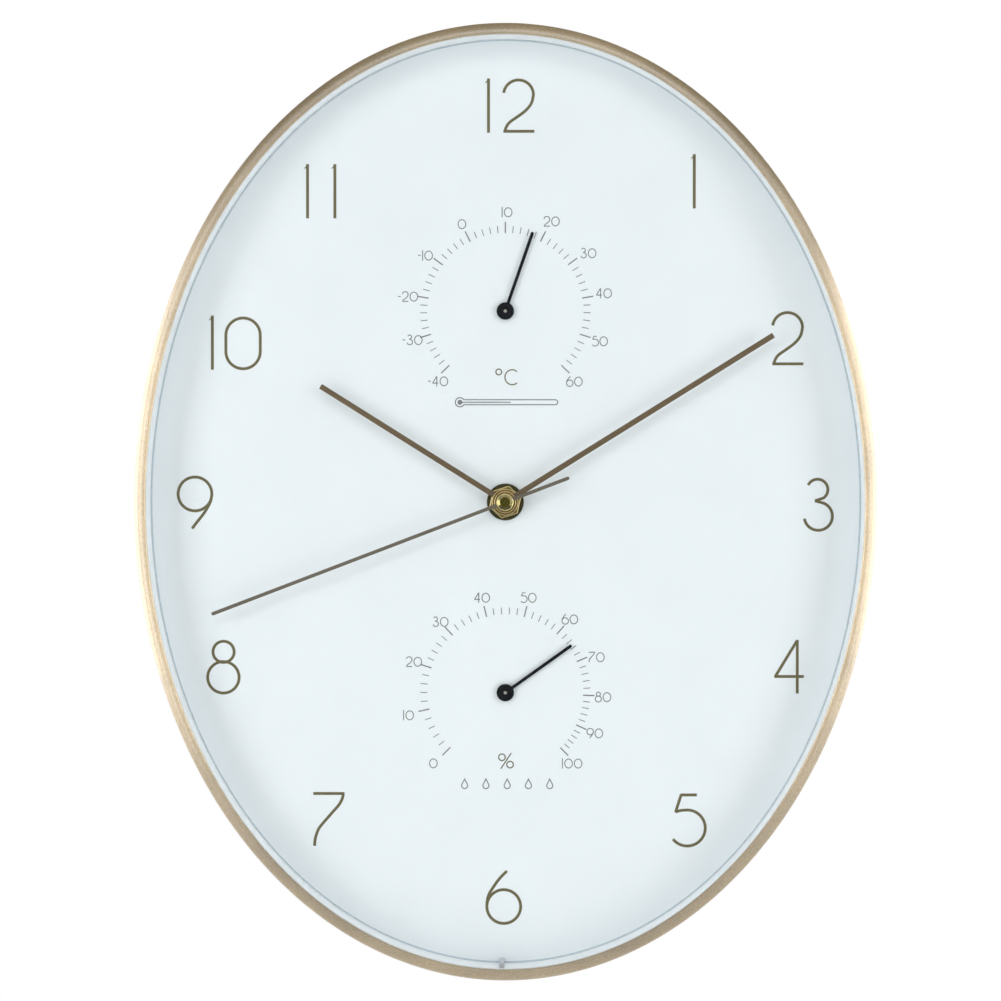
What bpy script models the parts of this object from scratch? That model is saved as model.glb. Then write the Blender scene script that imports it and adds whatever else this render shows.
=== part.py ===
"""Oval wall clock with a thermometer above and a hygrometer below the middle of its dial.

Each piece is made in the clock's own frame: X to the right, Y up, Z towards the viewer,
with Z = 0 on the wall and the hands' axis at X = Y = 0. The empty clock_frame stands that
frame up in the world, where the dial faces -Y, +Z is up and the origin lies on the keyhole
plate that the clock hangs by. Sizes are in metres.
"""

import math

import bmesh
import bpy
from mathutils import Matrix

# Clearances
FIT = 0.0003  # between pieces that touch on the real clock
OVERRUN = 0.0010  # how far a cutter runs past what it cuts
AXIAL_GAP = 0.0005  # between wheels that turn side by side
WELD_DISTANCE = 0.000001
SCREW_MERGE = 0.00001
FILL_SCALE = 1000.0  # outlines are filled this much enlarged: the fill merges points nearer than 0.03 mm

# Round shapes
OVAL_STEPS = 64
ROUND_STEPS = 24
PIPE_STEPS = 16
SMALL_STEPS = 12
RIM_STEPS = 4
AXIS_SIZE = 0.025  # drawn size of the empties

# Case, seen from the front
CASE_HEIGHT = 0.360
CASE_WIDTH = 0.279
RIM_WIDTH = 0.0044
RIM_ROUND_WIDTH = 0.0026
RIM_ROUND_DEPTH = 0.0030
RIM_CREST = 0.0003  # the crest stands this far above the rim's inner edge
RIM_EDGE = 0.0004
LIP_THICKNESS = 0.0016
CASE_WALL = 0.0015
BEAD_HEIGHT = 0.0009  # rib inside the wall, which the retaining clips hook in front of
BEAD_WIDTH = 0.0014
BEAD_RISE = 0.0068
BEAD_SLOPE = 0.0005

# What lies behind the rim, from the front backwards
GLASS_THICKNESS = 0.0020
GLASS_ROOM = 0.0003  # between the glass edge and the bead it has to pass
WELL_DEPTH = 0.0140
RING_THICKNESS = 0.0019
LUG_WIDTH = 0.0022
LUG_HEIGHT = 0.0017
DIAL_THICKNESS = 0.0008
BACK_THICKNESS = 0.0025
SEAL_THICKNESS = 0.0008
SEAL_WIDTH = 0.0040
WALL_ROOM = 0.0005  # between the setting knob and the wall

# Back plate
SKIRT_THICKNESS = 0.0020
SKIRT_HEIGHT = 0.0085
RIB_THICKNESS = 0.0016
RIB_HEIGHT = 0.0045
LOCATOR_THICKNESS = 0.0016
LOCATOR_HEIGHT = 0.0030

# Retaining clips
CLIP_PLACE_SHARES = (0.11, 0.39, 0.61, 0.89)  # of the way round the oval, from the right
CLIP_LENGTH = 0.0150
CLIP_WIDTH = 0.0100
CLIP_THICKNESS = 0.0008
BOSS_WIDTH = 0.0120
BOSS_DEPTH = 0.0110
CLIP_SCREW_SHARE = 0.6  # how far in along its boss a clip's screw stands
CLIP_SCREW_RADIUS = 0.0011
CLIP_SCREW_LENGTH = 0.0070
CLIP_HEAD_RADIUS = 0.0024
CLIP_HEAD_HEIGHT = 0.0014

# Heads of the screws
RECESS_TURN = math.radians(10.0)
RECESS_LENGTH_SHARE = 0.6  # of the head's radius, from the screw's axis
RECESS_WIDTH_SHARE = 0.13
CROWN_SHARE = 1 / 3  # part of a pan head's height that is chamfered

# Keyhole hanger
HANGER_MARGIN = 0.0210  # from the case's top down to the point named as the mount
HANGER_RISE = CASE_HEIGHT / 2 - HANGER_MARGIN  # and from the hands' axis up to that point
HANGER_WIDTH = 0.0460
HANGER_HEIGHT = 0.0300
HANGER_THICKNESS = 0.0012
HANGER_TOP_MARGIN = 0.0035  # from the mount's point up to the plate's top edge
HANGER_CORNER = 0.0030
KEYHOLE_RADIUS = 0.0047
KEYHOLE_SLOT_RADIUS = 0.0024
KEYHOLE_RUN = 0.0085
SLOT_MARGIN = 0.0065  # from the slot's top end up to the plate's top edge
HANGER_BOX_WALL = 0.0020
HANGER_PILLAR_WIDTH = 0.0080
HANGER_SCREW_RADIUS = 0.0013
HANGER_SCREW_LENGTH = 0.0085
HANGER_HEAD_RADIUS = 0.0024

# Hand stack, from the axis outwards and from the dial forwards
SECOND_ARBOR_RADIUS = 0.0005
MINUTE_PIPE_WALL = 0.0008
HOUR_PIPE_WALL = 0.00065
BUSHING_WALL = 0.00105
DIAL_WASHER_RADIUS = 0.0070
DIAL_WASHER_THICKNESS = 0.0007
NUT_WIDTH = 0.0110  # across its flats
NUT_THICKNESS = 0.0022
NUT_TURN = math.radians(17.3)
BUSHING_PROUD = 0.0006
HAND_SEAT = 0.0016  # length of pipe that carries a hand
HAND_THICKNESS = 0.0005
COLLET_WALL = 0.0010
COLLET_HEIGHT = 0.0011
COLLET_PROUD = 0.0002
HOUR_HAND_LENGTH = 0.0826
HOUR_HAND_WIDTH = 0.00205
HOUR_EYE_RADIUS = 0.0050
HOUR_HAND_TURN = math.radians(302.1)
MINUTE_HAND_LENGTH = 0.1194
MINUTE_HAND_WIDTH = 0.00208
MINUTE_EYE_RADIUS = 0.0041
MINUTE_HAND_TURN = math.radians(58.1)
SECOND_HAND_LENGTH = 0.1190
SECOND_HAND_TAIL = 0.0260
SECOND_HAND_WIDTH = 0.00133
SECOND_EYE_RADIUS = 0.0024
SECOND_HAND_TURN = math.radians(249.1)
CAP_RADIUS = 0.0032
CAP_HEIGHT = 0.0011
CAP_DISH_RADIUS = 0.0022
CAP_DISH_DEPTH = 0.0004

# Gauges
GAUGE_OFFSET = 0.0725  # from the hands' axis up and down to the gauges' axes
THERMOMETER_TURN = math.radians(19.2)
HYGROMETER_TURN = math.radians(54.4)
POINTER_LENGTH_THERMOMETER = 0.0317
POINTER_LENGTH_HYGROMETER = 0.0310
POINTER_WIDTH = 0.0011
POINTER_THICKNESS = 0.0004
POINTER_HUB_RADIUS = 0.0033
POINTER_HUB_HEIGHT = 0.0009
GAUGE_ARBOR_RADIUS = 0.0006
ARBOR_PROUD = 0.0005
GAUGE_OPENING_RADIUS = 0.0160
SPIRAL_RADIUS = 0.0115
SPIRAL_TURNS = 3
SPIRAL_STEPS = 16
SPIRAL_THICKNESS = 0.0005
SPIRAL_WIDTH = 0.0045
SPIRAL_DROP = 0.0010  # from the back plate's rear to the spiral's front edge
BRIDGE_WIDTH = 0.0090
BRIDGE_THICKNESS = 0.0010
BRIDGE_DROP = 0.0008  # from the spiral's rear edge to the bridge
BRIDGE_FOOT = 0.0070
GAUGE_SCREW_RADIUS = 0.0010
GAUGE_HEAD_RADIUS = 0.0020
GAUGE_HEAD_HEIGHT = 0.0012
GAUGE_SCREW_BITE = 0.0019

# Quartz movement
SHELL = 0.0012
SHELL_CORNER = 0.0025
BATTERY_RADIUS = 0.00725
BATTERY_LENGTH = 0.0494
BATTERY_BUTTON_RADIUS = 0.0027
BATTERY_BUTTON_LENGTH = 0.0011
CONTACT_THICKNESS = 0.0004
CONTACT_WIDTH = 0.0090
LEAF_DEPTH = 0.0020
LEAF_FOLD = 0.0030
WHEEL_ROOM = 0.0008  # between the largest wheels and the battery bay
COIL_ROOM = 0.0010
WHEEL_THICKNESS = 0.0010
PIVOT_LENGTH = 0.0015
PILLAR_WALL = 0.0008
LATCH_WIDTH = 0.0080
LATCH_LENGTH = 0.0060

# Gear train: teeth, modules and where each arbor lies from the one before it
ADDENDUM_SHARE = 0.75
DEDENDUM_SHARE = 1.05
ROOT_WIDTH_SHARE = 0.46
TIP_WIDTH_SHARE = 0.20
ROTOR_TEETH = 6
INTERMEDIATE_TEETH = 36
INTERMEDIATE_PINION_TEETH = 6
SECOND_TEETH = 30
SECOND_PINION_TEETH = 6
THIRD_TEETH = 45
THIRD_PINION_TEETH = 6
CENTRE_TEETH = 48
MINUTE_PINION_TEETH = 8
REVERSING_TEETH = 24
REVERSING_PINION_TEETH = 7
HOUR_TEETH = 28
ROTOR_MODULE = 0.00040
INTERMEDIATE_MODULE = 0.00060
SECOND_MODULE = 0.00042
MINUTE_MODULE = 0.00070
INTERMEDIATE_BEARING = math.radians(90.0)
ROTOR_BEARING = math.radians(155.0)
THIRD_BEARING = math.radians(20.0)
REVERSING_BEARING = math.radians(185.0)
HOUR_LEVEL = 0
MINUTE_LEVEL = 1
CENTRE_LEVEL = 2
THIRD_LEVEL = 4
SECOND_LEVEL = 5
ROTOR_LEVEL = 6
ARBOR_RADIUS = 0.0005
KNOB_SHAFT_RADIUS = 0.0008
KNOB_RADIUS = 0.0055
KNOB_HEIGHT = 0.0022
KNOB_GRIPS = 12
KNOB_GRIP_DEPTH = 0.0004
COLLAR_RADIUS = 0.0026
COLLAR_THICKNESS = 0.0006

# Stepping motor and circuit
MAGNET_RADIUS = 0.0030
MAGNET_LENGTH = 0.0028
STATOR_THICKNESS = 0.0010
STATOR_ROOM = 0.0005
STATOR_RING_WIDTH = 0.0016
STATOR_BAR_WIDTH = 0.0044
STATOR_LEFT = 0.0094  # from the rotor's axis to the stator's left edge
STATOR_RIGHT = 0.0088
LEG_WIDTH = 0.0026
CORE_THICKNESS = 0.0010
BOBBIN_BORE_RADIUS = 0.0017
BOBBIN_WALL = 0.0004
BOBBIN_FLANGE_RADIUS = 0.0034
BOBBIN_FLANGE_THICKNESS = 0.0008
WINDING_DEPTH = 0.0009
BOARD_THICKNESS = 0.0008
BOARD_LEFT = 0.0085
BOARD_BOTTOM = 0.0105
CRYSTAL_RADIUS = 0.0015
CRYSTAL_LENGTH = 0.0080
CRYSTAL_MARGIN = 0.0040

# Heights above the wall plane, from the wall forwards
MOVEMENT_REAR = WALL_ROOM + KNOB_HEIGHT + FIT
MOVEMENT_DEPTH = SHELL + FIT + 2 * BATTERY_RADIUS
MOVEMENT_FRONT = MOVEMENT_REAR + MOVEMENT_DEPTH
BACK_REAR = MOVEMENT_FRONT + SEAL_THICKNESS + 2 * FIT
BACK_FRONT = BACK_REAR + BACK_THICKNESS
DIAL_BACK = BACK_FRONT + FIT
DIAL_FRONT = DIAL_BACK + DIAL_THICKNESS
RING_BACK = DIAL_FRONT + FIT
GLASS_BACK = DIAL_FRONT + WELL_DEPTH
RING_FRONT = GLASS_BACK - FIT
GLASS_FRONT = GLASS_BACK + GLASS_THICKNESS
LIP_BACK = GLASS_FRONT + FIT
CASE_DEPTH = LIP_BACK + LIP_THICKNESS + RIM_CREST
CLIP_BACK = BEAD_RISE + BEAD_WIDTH + FIT
BOSS_TOP = CLIP_BACK + CLIP_THICKNESS + FIT
WASHER_BACK = DIAL_FRONT + FIT
NUT_BACK = WASHER_BACK + DIAL_WASHER_THICKNESS + FIT
BUSHING_TOP = NUT_BACK + NUT_THICKNESS + BUSHING_PROUD
HOUR_PIPE_TOP = BUSHING_TOP + HAND_SEAT
MINUTE_PIPE_TOP = HOUR_PIPE_TOP + HAND_SEAT
CAP_BACK = MINUTE_PIPE_TOP + 2 * FIT + HAND_THICKNESS
SPIRAL_FRONT = BACK_REAR - SPIRAL_DROP
SPIRAL_BACK = SPIRAL_FRONT - SPIRAL_WIDTH
BRIDGE_FRONT = SPIRAL_BACK - BRIDGE_DROP
BRIDGE_BACK = BRIDGE_FRONT - BRIDGE_THICKNESS
POINTER_BACK = DIAL_FRONT + 3 * FIT

# Radii of the nested pipes
MINUTE_BORE = SECOND_ARBOR_RADIUS + FIT
MINUTE_PIPE_RADIUS = MINUTE_BORE + MINUTE_PIPE_WALL
HOUR_BORE = MINUTE_PIPE_RADIUS + FIT
HOUR_PIPE_RADIUS = HOUR_BORE + HOUR_PIPE_WALL
BUSHING_BORE = HOUR_PIPE_RADIUS + FIT
BUSHING_RADIUS = BUSHING_BORE + BUSHING_WALL
BUSHING_HOLE = BUSHING_RADIUS + FIT
SEAL_BORE = BUSHING_HOLE + SEAL_WIDTH / 2
SEAL_RADIUS = SEAL_BORE + SEAL_WIDTH

# Insets from the case's outer edge
RING_INNER_INSET = RIM_WIDTH
RING_OUTER_INSET = RING_INNER_INSET - RING_THICKNESS
GLASS_INSET = CASE_WALL + BEAD_HEIGHT + GLASS_ROOM

# Gear levels, arbor places and phases
LEVEL = WHEEL_THICKNESS + AXIAL_GAP
FIRST_LEVEL = MOVEMENT_FRONT - SHELL - AXIAL_GAP
ROTOR_DISTANCE = ROTOR_MODULE * (ROTOR_TEETH + INTERMEDIATE_TEETH) / 2
INTERMEDIATE_DISTANCE = INTERMEDIATE_MODULE * (INTERMEDIATE_PINION_TEETH + SECOND_TEETH) / 2
THIRD_DISTANCE = SECOND_MODULE * (SECOND_PINION_TEETH + THIRD_TEETH) / 2
CENTRE_MODULE = 2 * THIRD_DISTANCE / (THIRD_PINION_TEETH + CENTRE_TEETH)
REVERSING_DISTANCE = MINUTE_MODULE * (MINUTE_PINION_TEETH + REVERSING_TEETH) / 2
HOUR_MODULE = 2 * REVERSING_DISTANCE / (REVERSING_PINION_TEETH + HOUR_TEETH)


def polar(radius, angle, middle=(0.0, 0.0)):
    """The point at this radius and angle round middle."""
    return (middle[0] + radius * math.cos(angle), middle[1] + radius * math.sin(angle))


CENTRE = (0.0, 0.0)
INTERMEDIATE_PLACE = polar(INTERMEDIATE_DISTANCE, INTERMEDIATE_BEARING)
ROTOR_PLACE = polar(ROTOR_DISTANCE, ROTOR_BEARING, INTERMEDIATE_PLACE)
THIRD_PLACE = polar(THIRD_DISTANCE, THIRD_BEARING)
REVERSING_PLACE = polar(REVERSING_DISTANCE, REVERSING_BEARING)


def tip_radius(teeth, module):
    """Outer radius of a gear."""
    return teeth * module / 2 + ADDENDUM_SHARE * module


# Movement case, laid out round the wheels and the battery
WHEEL_REACH = max(
    tip_radius(CENTRE_TEETH, CENTRE_MODULE),
    tip_radius(HOUR_TEETH, HOUR_MODULE),
    tip_radius(SECOND_TEETH, INTERMEDIATE_MODULE),
)
BAY_TOP = -(WHEEL_REACH + WHEEL_ROOM + SHELL)
BATTERY_HEIGHT = BAY_TOP - FIT - BATTERY_RADIUS
CASE_BOTTOM = BATTERY_HEIGHT - BATTERY_RADIUS - FIT - SHELL
COIL_HEIGHT = (
    INTERMEDIATE_PLACE[1]
    + tip_radius(INTERMEDIATE_TEETH, ROTOR_MODULE)
    + COIL_ROOM
    + BOBBIN_FLANGE_RADIUS
)
CASE_TOP = COIL_HEIGHT + BOBBIN_FLANGE_RADIUS + COIL_ROOM + SHELL
POSITIVE_ROOM = CONTACT_THICKNESS + 2 * FIT
NEGATIVE_ROOM = LEAF_DEPTH + CONTACT_THICKNESS + 2 * FIT
BAY_LENGTH = BATTERY_LENGTH + BATTERY_BUTTON_LENGTH + POSITIVE_ROOM + NEGATIVE_ROOM
CASE_SIDE = BAY_LENGTH / 2 + SHELL
BATTERY_DEPTH = MOVEMENT_FRONT - SHELL - FIT - BATTERY_RADIUS
COVER_FRONT = MOVEMENT_REAR + SHELL
TRAY_REAR = COVER_FRONT + FIT
PIVOT_FRONT = MOVEMENT_FRONT - FIT
PIVOT_REAR = COVER_FRONT + PIVOT_LENGTH / 2
PILLAR_FRONT = COVER_FRONT + PIVOT_LENGTH

CLOCK = "oval wall clock with thermometer"


class Finish:
    """Colour, roughness and metallic value of one of the clock's materials."""

    def __init__(self, name, colour, roughness, metallic=0.0, alpha=1.0):
        self.material = bpy.data.materials.new(name)
        self.material.use_nodes = True
        shader = self.material.node_tree.nodes["Principled BSDF"]
        shader.inputs["Base Color"].default_value = (*colour, 1.0)
        shader.inputs["Roughness"].default_value = roughness
        shader.inputs["Metallic"].default_value = metallic
        shader.inputs["Alpha"].default_value = alpha
        self.material.diffuse_color = (*colour, alpha)


def start():
    """Empty the scene and make the collections and the empty that stands the clock up."""
    for item in list(bpy.data.objects):
        bpy.data.objects.remove(item, do_unlink=True)
    for name in (CLOCK, "cutters"):
        bpy.context.scene.collection.children.link(bpy.data.collections.new(name))
    return pivot("clock_frame", (0.0, 0.0, -HANGER_RISE), rotation=(math.radians(90.0), 0.0, 0.0))


def pivot(name, location, parent=None, rotation=(0.0, 0.0, 0.0)):
    """An empty that stands on an axis and carries what turns about it."""
    empty = bpy.data.objects.new(name, None)
    empty.empty_display_size = AXIS_SIZE
    empty.location = location
    empty.rotation_euler = rotation
    empty.parent = parent
    bpy.data.collections[CLOCK].objects.link(empty)
    return empty


def add(name, mesh, parent, finish, location=(0.0, 0.0, 0.0), rotation=(0.0, 0.0, 0.0)):
    """One named piece of the clock."""
    piece = bpy.data.objects.new(name, mesh)
    piece.parent = parent
    piece.location = location
    piece.rotation_euler = rotation
    bpy.data.collections[CLOCK].objects.link(piece)
    if finish:
        mesh.materials.append(finish.material)
    return piece


def hide(tool):
    """Turn a piece into a helper that only Boolean modifiers read."""
    bpy.data.collections[CLOCK].objects.unlink(tool)
    bpy.data.collections["cutters"].objects.link(tool)
    tool.hide_render = True
    tool.display_type = "WIRE"


def change(piece, tool, operation):
    """Cut a piece with a tool, or join the tool to it."""
    modifier = piece.modifiers.new(f"{operation.lower()} {tool.name}", "BOOLEAN")
    modifier.operation = operation
    modifier.solver = "EXACT"
    modifier.object = tool
    hide(tool)


def cut(piece, *tools):
    """Take the tools' space out of a piece."""
    for tool in tools:
        change(piece, tool, "DIFFERENCE")


def join(piece, *tools):
    """Fuse the tools to a piece."""
    for tool in tools:
        change(piece, tool, "UNION")


def soften(piece, angle=math.radians(35.0)):
    """Shade round faces smooth and keep the edges sharp."""
    piece.data.shade_smooth()
    piece.data.set_sharp_from_angle(angle=angle)
    return piece


def mesh_of_curve(name, curve, scale=1.0):
    """The welded mesh of a filled or bevelled curve."""
    maker = bpy.data.objects.new(name, curve)
    bpy.context.scene.collection.objects.link(maker)
    bpy.context.view_layer.update()
    graph = bpy.context.evaluated_depsgraph_get()
    mesh = bpy.data.meshes.new_from_object(maker.evaluated_get(graph))
    bpy.data.objects.remove(maker)
    bpy.data.curves.remove(curve)
    mesh.name = name
    mesh.transform(Matrix.Scale(scale, 4))
    shape = bmesh.new()
    shape.from_mesh(mesh)
    bmesh.ops.remove_doubles(shape, verts=shape.verts, dist=WELD_DISTANCE)
    bmesh.ops.recalc_face_normals(shape, faces=shape.faces)
    shape.to_mesh(mesh)
    shape.free()
    return mesh


def add_loop(curve, points, scale=1.0, closed=True):
    """Add a straight-edged spline through these points to a curve."""
    spline = curve.splines.new("POLY")
    spline.points.add(len(points) - 1)
    for spot, point in zip(spline.points, points):
        spot.co = (point[0] * scale, point[1] * scale, 0.0, 1.0)
    spline.use_cyclic_u = closed


def flat(name, loops, back, front, parent, finish=None, **place):
    """A plate with an outline and holes, given as loops of points, between two heights."""
    curve = bpy.data.curves.new(name, "CURVE")
    curve.dimensions = "2D"
    curve.fill_mode = "BOTH"
    curve.extrude = (front - back) / 2 * FILL_SCALE
    for loop in loops:
        add_loop(curve, loop, FILL_SCALE)
    mesh = mesh_of_curve(name, curve, 1 / FILL_SCALE)
    mesh.transform(Matrix.Translation((0.0, 0.0, (front + back) / 2)))
    return add(name, mesh, parent, finish, **place)


def sweep(name, profile, parent, finish=None):
    """Carry a profile of (inset, height) points round the case's oval."""
    guide_curve = bpy.data.curves.new(name + "_profile", "CURVE")
    guide_curve.dimensions = "2D"
    add_loop(guide_curve, [(-inset, height) for inset, height in profile])
    guide = bpy.data.objects.new(name + "_profile", guide_curve)
    bpy.context.scene.collection.objects.link(guide)
    path = bpy.data.curves.new(name, "CURVE")
    path.dimensions = "3D"
    path.twist_mode = "Z_UP"
    path.bevel_mode = "OBJECT"
    path.bevel_object = guide
    add_loop(path, oval(0.0))
    mesh = mesh_of_curve(name, path)
    bpy.data.objects.remove(guide)
    bpy.data.curves.remove(guide_curve)
    return add(name, mesh, parent, finish)


def turned(name, profile, parent, finish=None, ring=False, steps=ROUND_STEPS, **place):
    """A turned piece: (radius, height) points from the top down the outside, then back up."""
    mesh = bpy.data.meshes.new(name)
    edges = [(index, index + 1) for index in range(len(profile) - 1)]
    if ring:
        edges.append((len(profile) - 1, 0))
    mesh.from_pydata([(radius, 0.0, height) for radius, height in profile], edges, [])
    piece = add(name, mesh, parent, finish, **place)
    modifier = piece.modifiers.new("turn", "SCREW")
    modifier.steps = steps
    modifier.render_steps = steps
    modifier.use_merge_vertices = True
    modifier.merge_threshold = SCREW_MERGE
    return piece


def drum(name, radius, back, front, parent, finish=None, steps=ROUND_STEPS, **place):
    """A plain round bar between two heights."""
    profile = [(0.0, front), (radius, front), (radius, back), (0.0, back)]
    return turned(name, profile, parent, finish, steps=steps, **place)


def tube(name, bore, radius, back, front, parent, finish=None, steps=ROUND_STEPS, **place):
    """A plain tube between two heights."""
    profile = [(bore, front), (radius, front), (radius, back), (bore, back)]
    return turned(name, profile, parent, finish, ring=True, steps=steps, **place)


def block(name, low, high, parent, finish=None, **place):
    """A box between two corners."""
    mesh = bpy.data.meshes.new(name)
    shape = bmesh.new()
    size = [top - bottom for bottom, top in zip(low, high)]
    middle = [(top + bottom) / 2 for bottom, top in zip(low, high)]
    spot = Matrix.Translation(middle) @ Matrix.Diagonal((*size, 1.0))
    bmesh.ops.create_cube(shape, size=1.0, matrix=spot)
    shape.to_mesh(mesh)
    shape.free()
    return add(name, mesh, parent, finish, **place)


def circle(radius, middle=CENTRE, steps=ROUND_STEPS):
    """Points round a circle."""
    return [polar(radius, math.tau * step / steps, middle) for step in range(steps)]


def arc(radius, start_angle, end_angle, steps, middle=CENTRE):
    """Points along an arc, both ends included."""
    span = end_angle - start_angle
    return [polar(radius, start_angle + span * step / steps, middle) for step in range(steps + 1)]


def rounded_box(left, right, bottom, top, corner, steps=2):
    """Outline of a rectangle with round corners."""
    spots = (
        (right - corner, top - corner),
        (left + corner, top - corner),
        (left + corner, bottom + corner),
        (right - corner, bottom + corner),
    )
    outline = []
    for index, spot in enumerate(spots):
        first = index * math.pi / 2
        outline += arc(corner, first, first + math.pi / 2, steps, spot)
    return outline


def oval_spot(share, inset=0.0):
    """Point of the case's oval this share of the way round, moved in, and its outward angle."""
    angle = math.tau * share
    across = CASE_WIDTH / 2
    along = CASE_HEIGHT / 2
    outward = math.atan2(across * math.sin(angle), along * math.cos(angle))
    middle = (across * math.cos(angle), along * math.sin(angle))
    return polar(-inset, outward, middle), outward


def oval(inset):
    """Outline that runs at a constant inset inside the case's outer edge."""
    return [oval_spot(step / OVAL_STEPS, inset)[0] for step in range(OVAL_STEPS)]


def gear(teeth, module, phase):
    """Outline of a gear with slim straight-sided teeth, one of them centred on phase."""
    tip = tip_radius(teeth, module)
    root = teeth * module / 2 - DEDENDUM_SHARE * module
    pitch = math.pi * module
    root_half = ROOT_WIDTH_SHARE * pitch / 2 / root
    tip_half = TIP_WIDTH_SHARE * pitch / 2 / tip
    outline = []
    for tooth in range(teeth):
        centre = phase + math.tau * tooth / teeth
        outline.append(polar(root, centre - root_half))
        outline.append(polar(tip, centre - tip_half))
        outline.append(polar(tip, centre + tip_half))
        outline.append(polar(root, centre + root_half))
    return outline


def meshed_phase(teeth, phase, next_teeth, bearing):
    """Phase that puts the next gear's teeth between the teeth of this one."""
    return bearing + math.pi - (math.pi - teeth * (bearing - phase)) / next_teeth


def level(number):
    """Back and front height of a wheel on this level, counted from the movement's front."""
    front = FIRST_LEVEL - number * LEVEL
    return front - WHEEL_THICKNESS, front


def hand_outline(width, length, eye_radius, tail=0.0, round_end=False):
    """Outline of a hand that points up: a round eye, a straight blade and perhaps a tail."""
    half = width / 2
    spread = math.asin(half / eye_radius)
    up = math.pi / 2
    if round_end:
        end = arc(half, 0.0, math.pi, SMALL_STEPS // 2, (0.0, length - half))
    else:
        end = [(half, length), (-half, length)]
    outline = list(end)
    if tail:
        outline += arc(eye_radius, up + spread, 3 * up - spread, SMALL_STEPS)
        outline += arc(half, math.pi, math.tau, SMALL_STEPS // 2, (0.0, half - tail))
        outline += arc(eye_radius, 3 * up + spread, 5 * up - spread, SMALL_STEPS)
    else:
        outline += arc(eye_radius, up + spread, 5 * up - spread, ROUND_STEPS)
    return outline


def rim_profile():
    """Section of the frame: deep wall, rounded front edge, lip and the bead for the clips."""
    crest = CASE_DEPTH
    lip_front = CASE_DEPTH - RIM_CREST
    rounding = []
    for step in range(RIM_STEPS + 1):
        angle = math.pi / 2 * step / RIM_STEPS
        inset = RIM_ROUND_WIDTH * (1 - math.cos(angle))
        rounding.append((inset, crest - RIM_ROUND_DEPTH * (1 - math.sin(angle))))
    return [
        (0.0, 0.0),
        *rounding,
        (RIM_WIDTH - RIM_EDGE, lip_front),
        (RIM_WIDTH, lip_front - RIM_EDGE),
        (RIM_WIDTH, LIP_BACK),
        (CASE_WALL, LIP_BACK),
        (CASE_WALL, BEAD_RISE + BEAD_WIDTH),
        (CASE_WALL + BEAD_HEIGHT, BEAD_RISE + BEAD_WIDTH),
        (CASE_WALL + BEAD_HEIGHT, BEAD_RISE + BEAD_SLOPE),
        (CASE_WALL, BEAD_RISE),
        (CASE_WALL, 0.0),
    ]


def make_case(clock, finishes):
    """The frame, the glass, the ring that holds them apart, and the dial."""
    soften(sweep("outer_frame", rim_profile(), clock, finishes["champagne"]))
    glass_loop = oval(GLASS_INSET)
    flat("glass_lens", [glass_loop], GLASS_BACK, GLASS_FRONT, clock, finishes["glass"])
    ring_section = [
        (RING_OUTER_INSET, RING_BACK),
        (RING_OUTER_INSET, RING_FRONT),
        (RING_INNER_INSET, RING_FRONT),
        (RING_INNER_INSET, RING_BACK),
    ]
    ring = soften(sweep("spacer_ring", ring_section, clock, finishes["white"]))
    foot = oval_spot(3 / 4, RING_INNER_INSET)[0][1]
    lug_half = LUG_WIDTH / 2
    lug_loop = arc(lug_half, 0.0, math.pi, SMALL_STEPS // 2, (0.0, foot + LUG_HEIGHT - lug_half))
    lug_loop += [(-lug_half, foot - RING_THICKNESS / 2), (lug_half, foot - RING_THICKNESS / 2)]
    join(ring, flat("ring_lug", [lug_loop], RING_BACK, RING_FRONT, clock))
    gauge_hole = GAUGE_ARBOR_RADIUS + FIT
    dial_loops = [
        oval(GLASS_INSET),
        circle(BUSHING_HOLE),
        circle(gauge_hole, (0.0, GAUGE_OFFSET), SMALL_STEPS),
        circle(gauge_hole, (0.0, -GAUGE_OFFSET), SMALL_STEPS),
    ]
    flat("dial_plate", dial_loops, DIAL_BACK, DIAL_FRONT, clock, finishes["dial"])


def make_back_plate(clock, finishes):
    """The moulded back plate with its skirt, ribs, clip bosses and hanger box."""
    openings = [circle(GAUGE_OPENING_RADIUS, (0.0, side * GAUGE_OFFSET)) for side in (1, -1)]
    loops = [oval(GLASS_INSET), circle(BUSHING_HOLE), *openings]
    back = flat("back_plate", loops, BACK_REAR, BACK_FRONT, clock, finishes["moulding"])
    bite = BACK_THICKNESS / 2  # what stands on the plate reaches this far into it
    root = BACK_REAR + bite
    skirt_loops = [oval(GLASS_INSET), oval(GLASS_INSET + SKIRT_THICKNESS)]
    join(back, flat("skirt", skirt_loops, BACK_REAR - SKIRT_HEIGHT, root, clock))
    add_locator(back, clock, root)
    add_ribs(back, clock, root)
    for index, share in enumerate(CLIP_PLACE_SHARES, 1):
        spot, outward = oval_spot(share, GLASS_INSET)
        boss = block(
            f"clip_boss_{index}",
            (-BOSS_DEPTH, -BOSS_WIDTH / 2, BOSS_TOP),
            (-SKIRT_THICKNESS / 2, BOSS_WIDTH / 2, root),
            clock,
            location=(*spot, 0.0),
            rotation=(0.0, 0.0, outward),
        )
        join(back, boss)
        hole = CLIP_SCREW_RADIUS + FIT
        depth = BOSS_TOP + CLIP_SCREW_LENGTH
        pilot = drum(f"clip_pilot_{index}", hole, BOSS_TOP - OVERRUN, depth, clock,
                     steps=SMALL_STEPS, location=(*clip_screw_spot(share), 0.0))
        cut(back, pilot)
    add_hanger_box(back, clock, root)
    for side in (1, -1):
        for end in (1, -1):
            spot = gauge_screw_spot(side, end)
            cut(back, drum(f"gauge_pilot_{side}_{end}", GAUGE_SCREW_RADIUS + FIT, BACK_REAR - OVERRUN,
                           BACK_REAR + GAUGE_SCREW_BITE + FIT, clock, steps=SMALL_STEPS,
                           location=(*spot, 0.0)))


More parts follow.
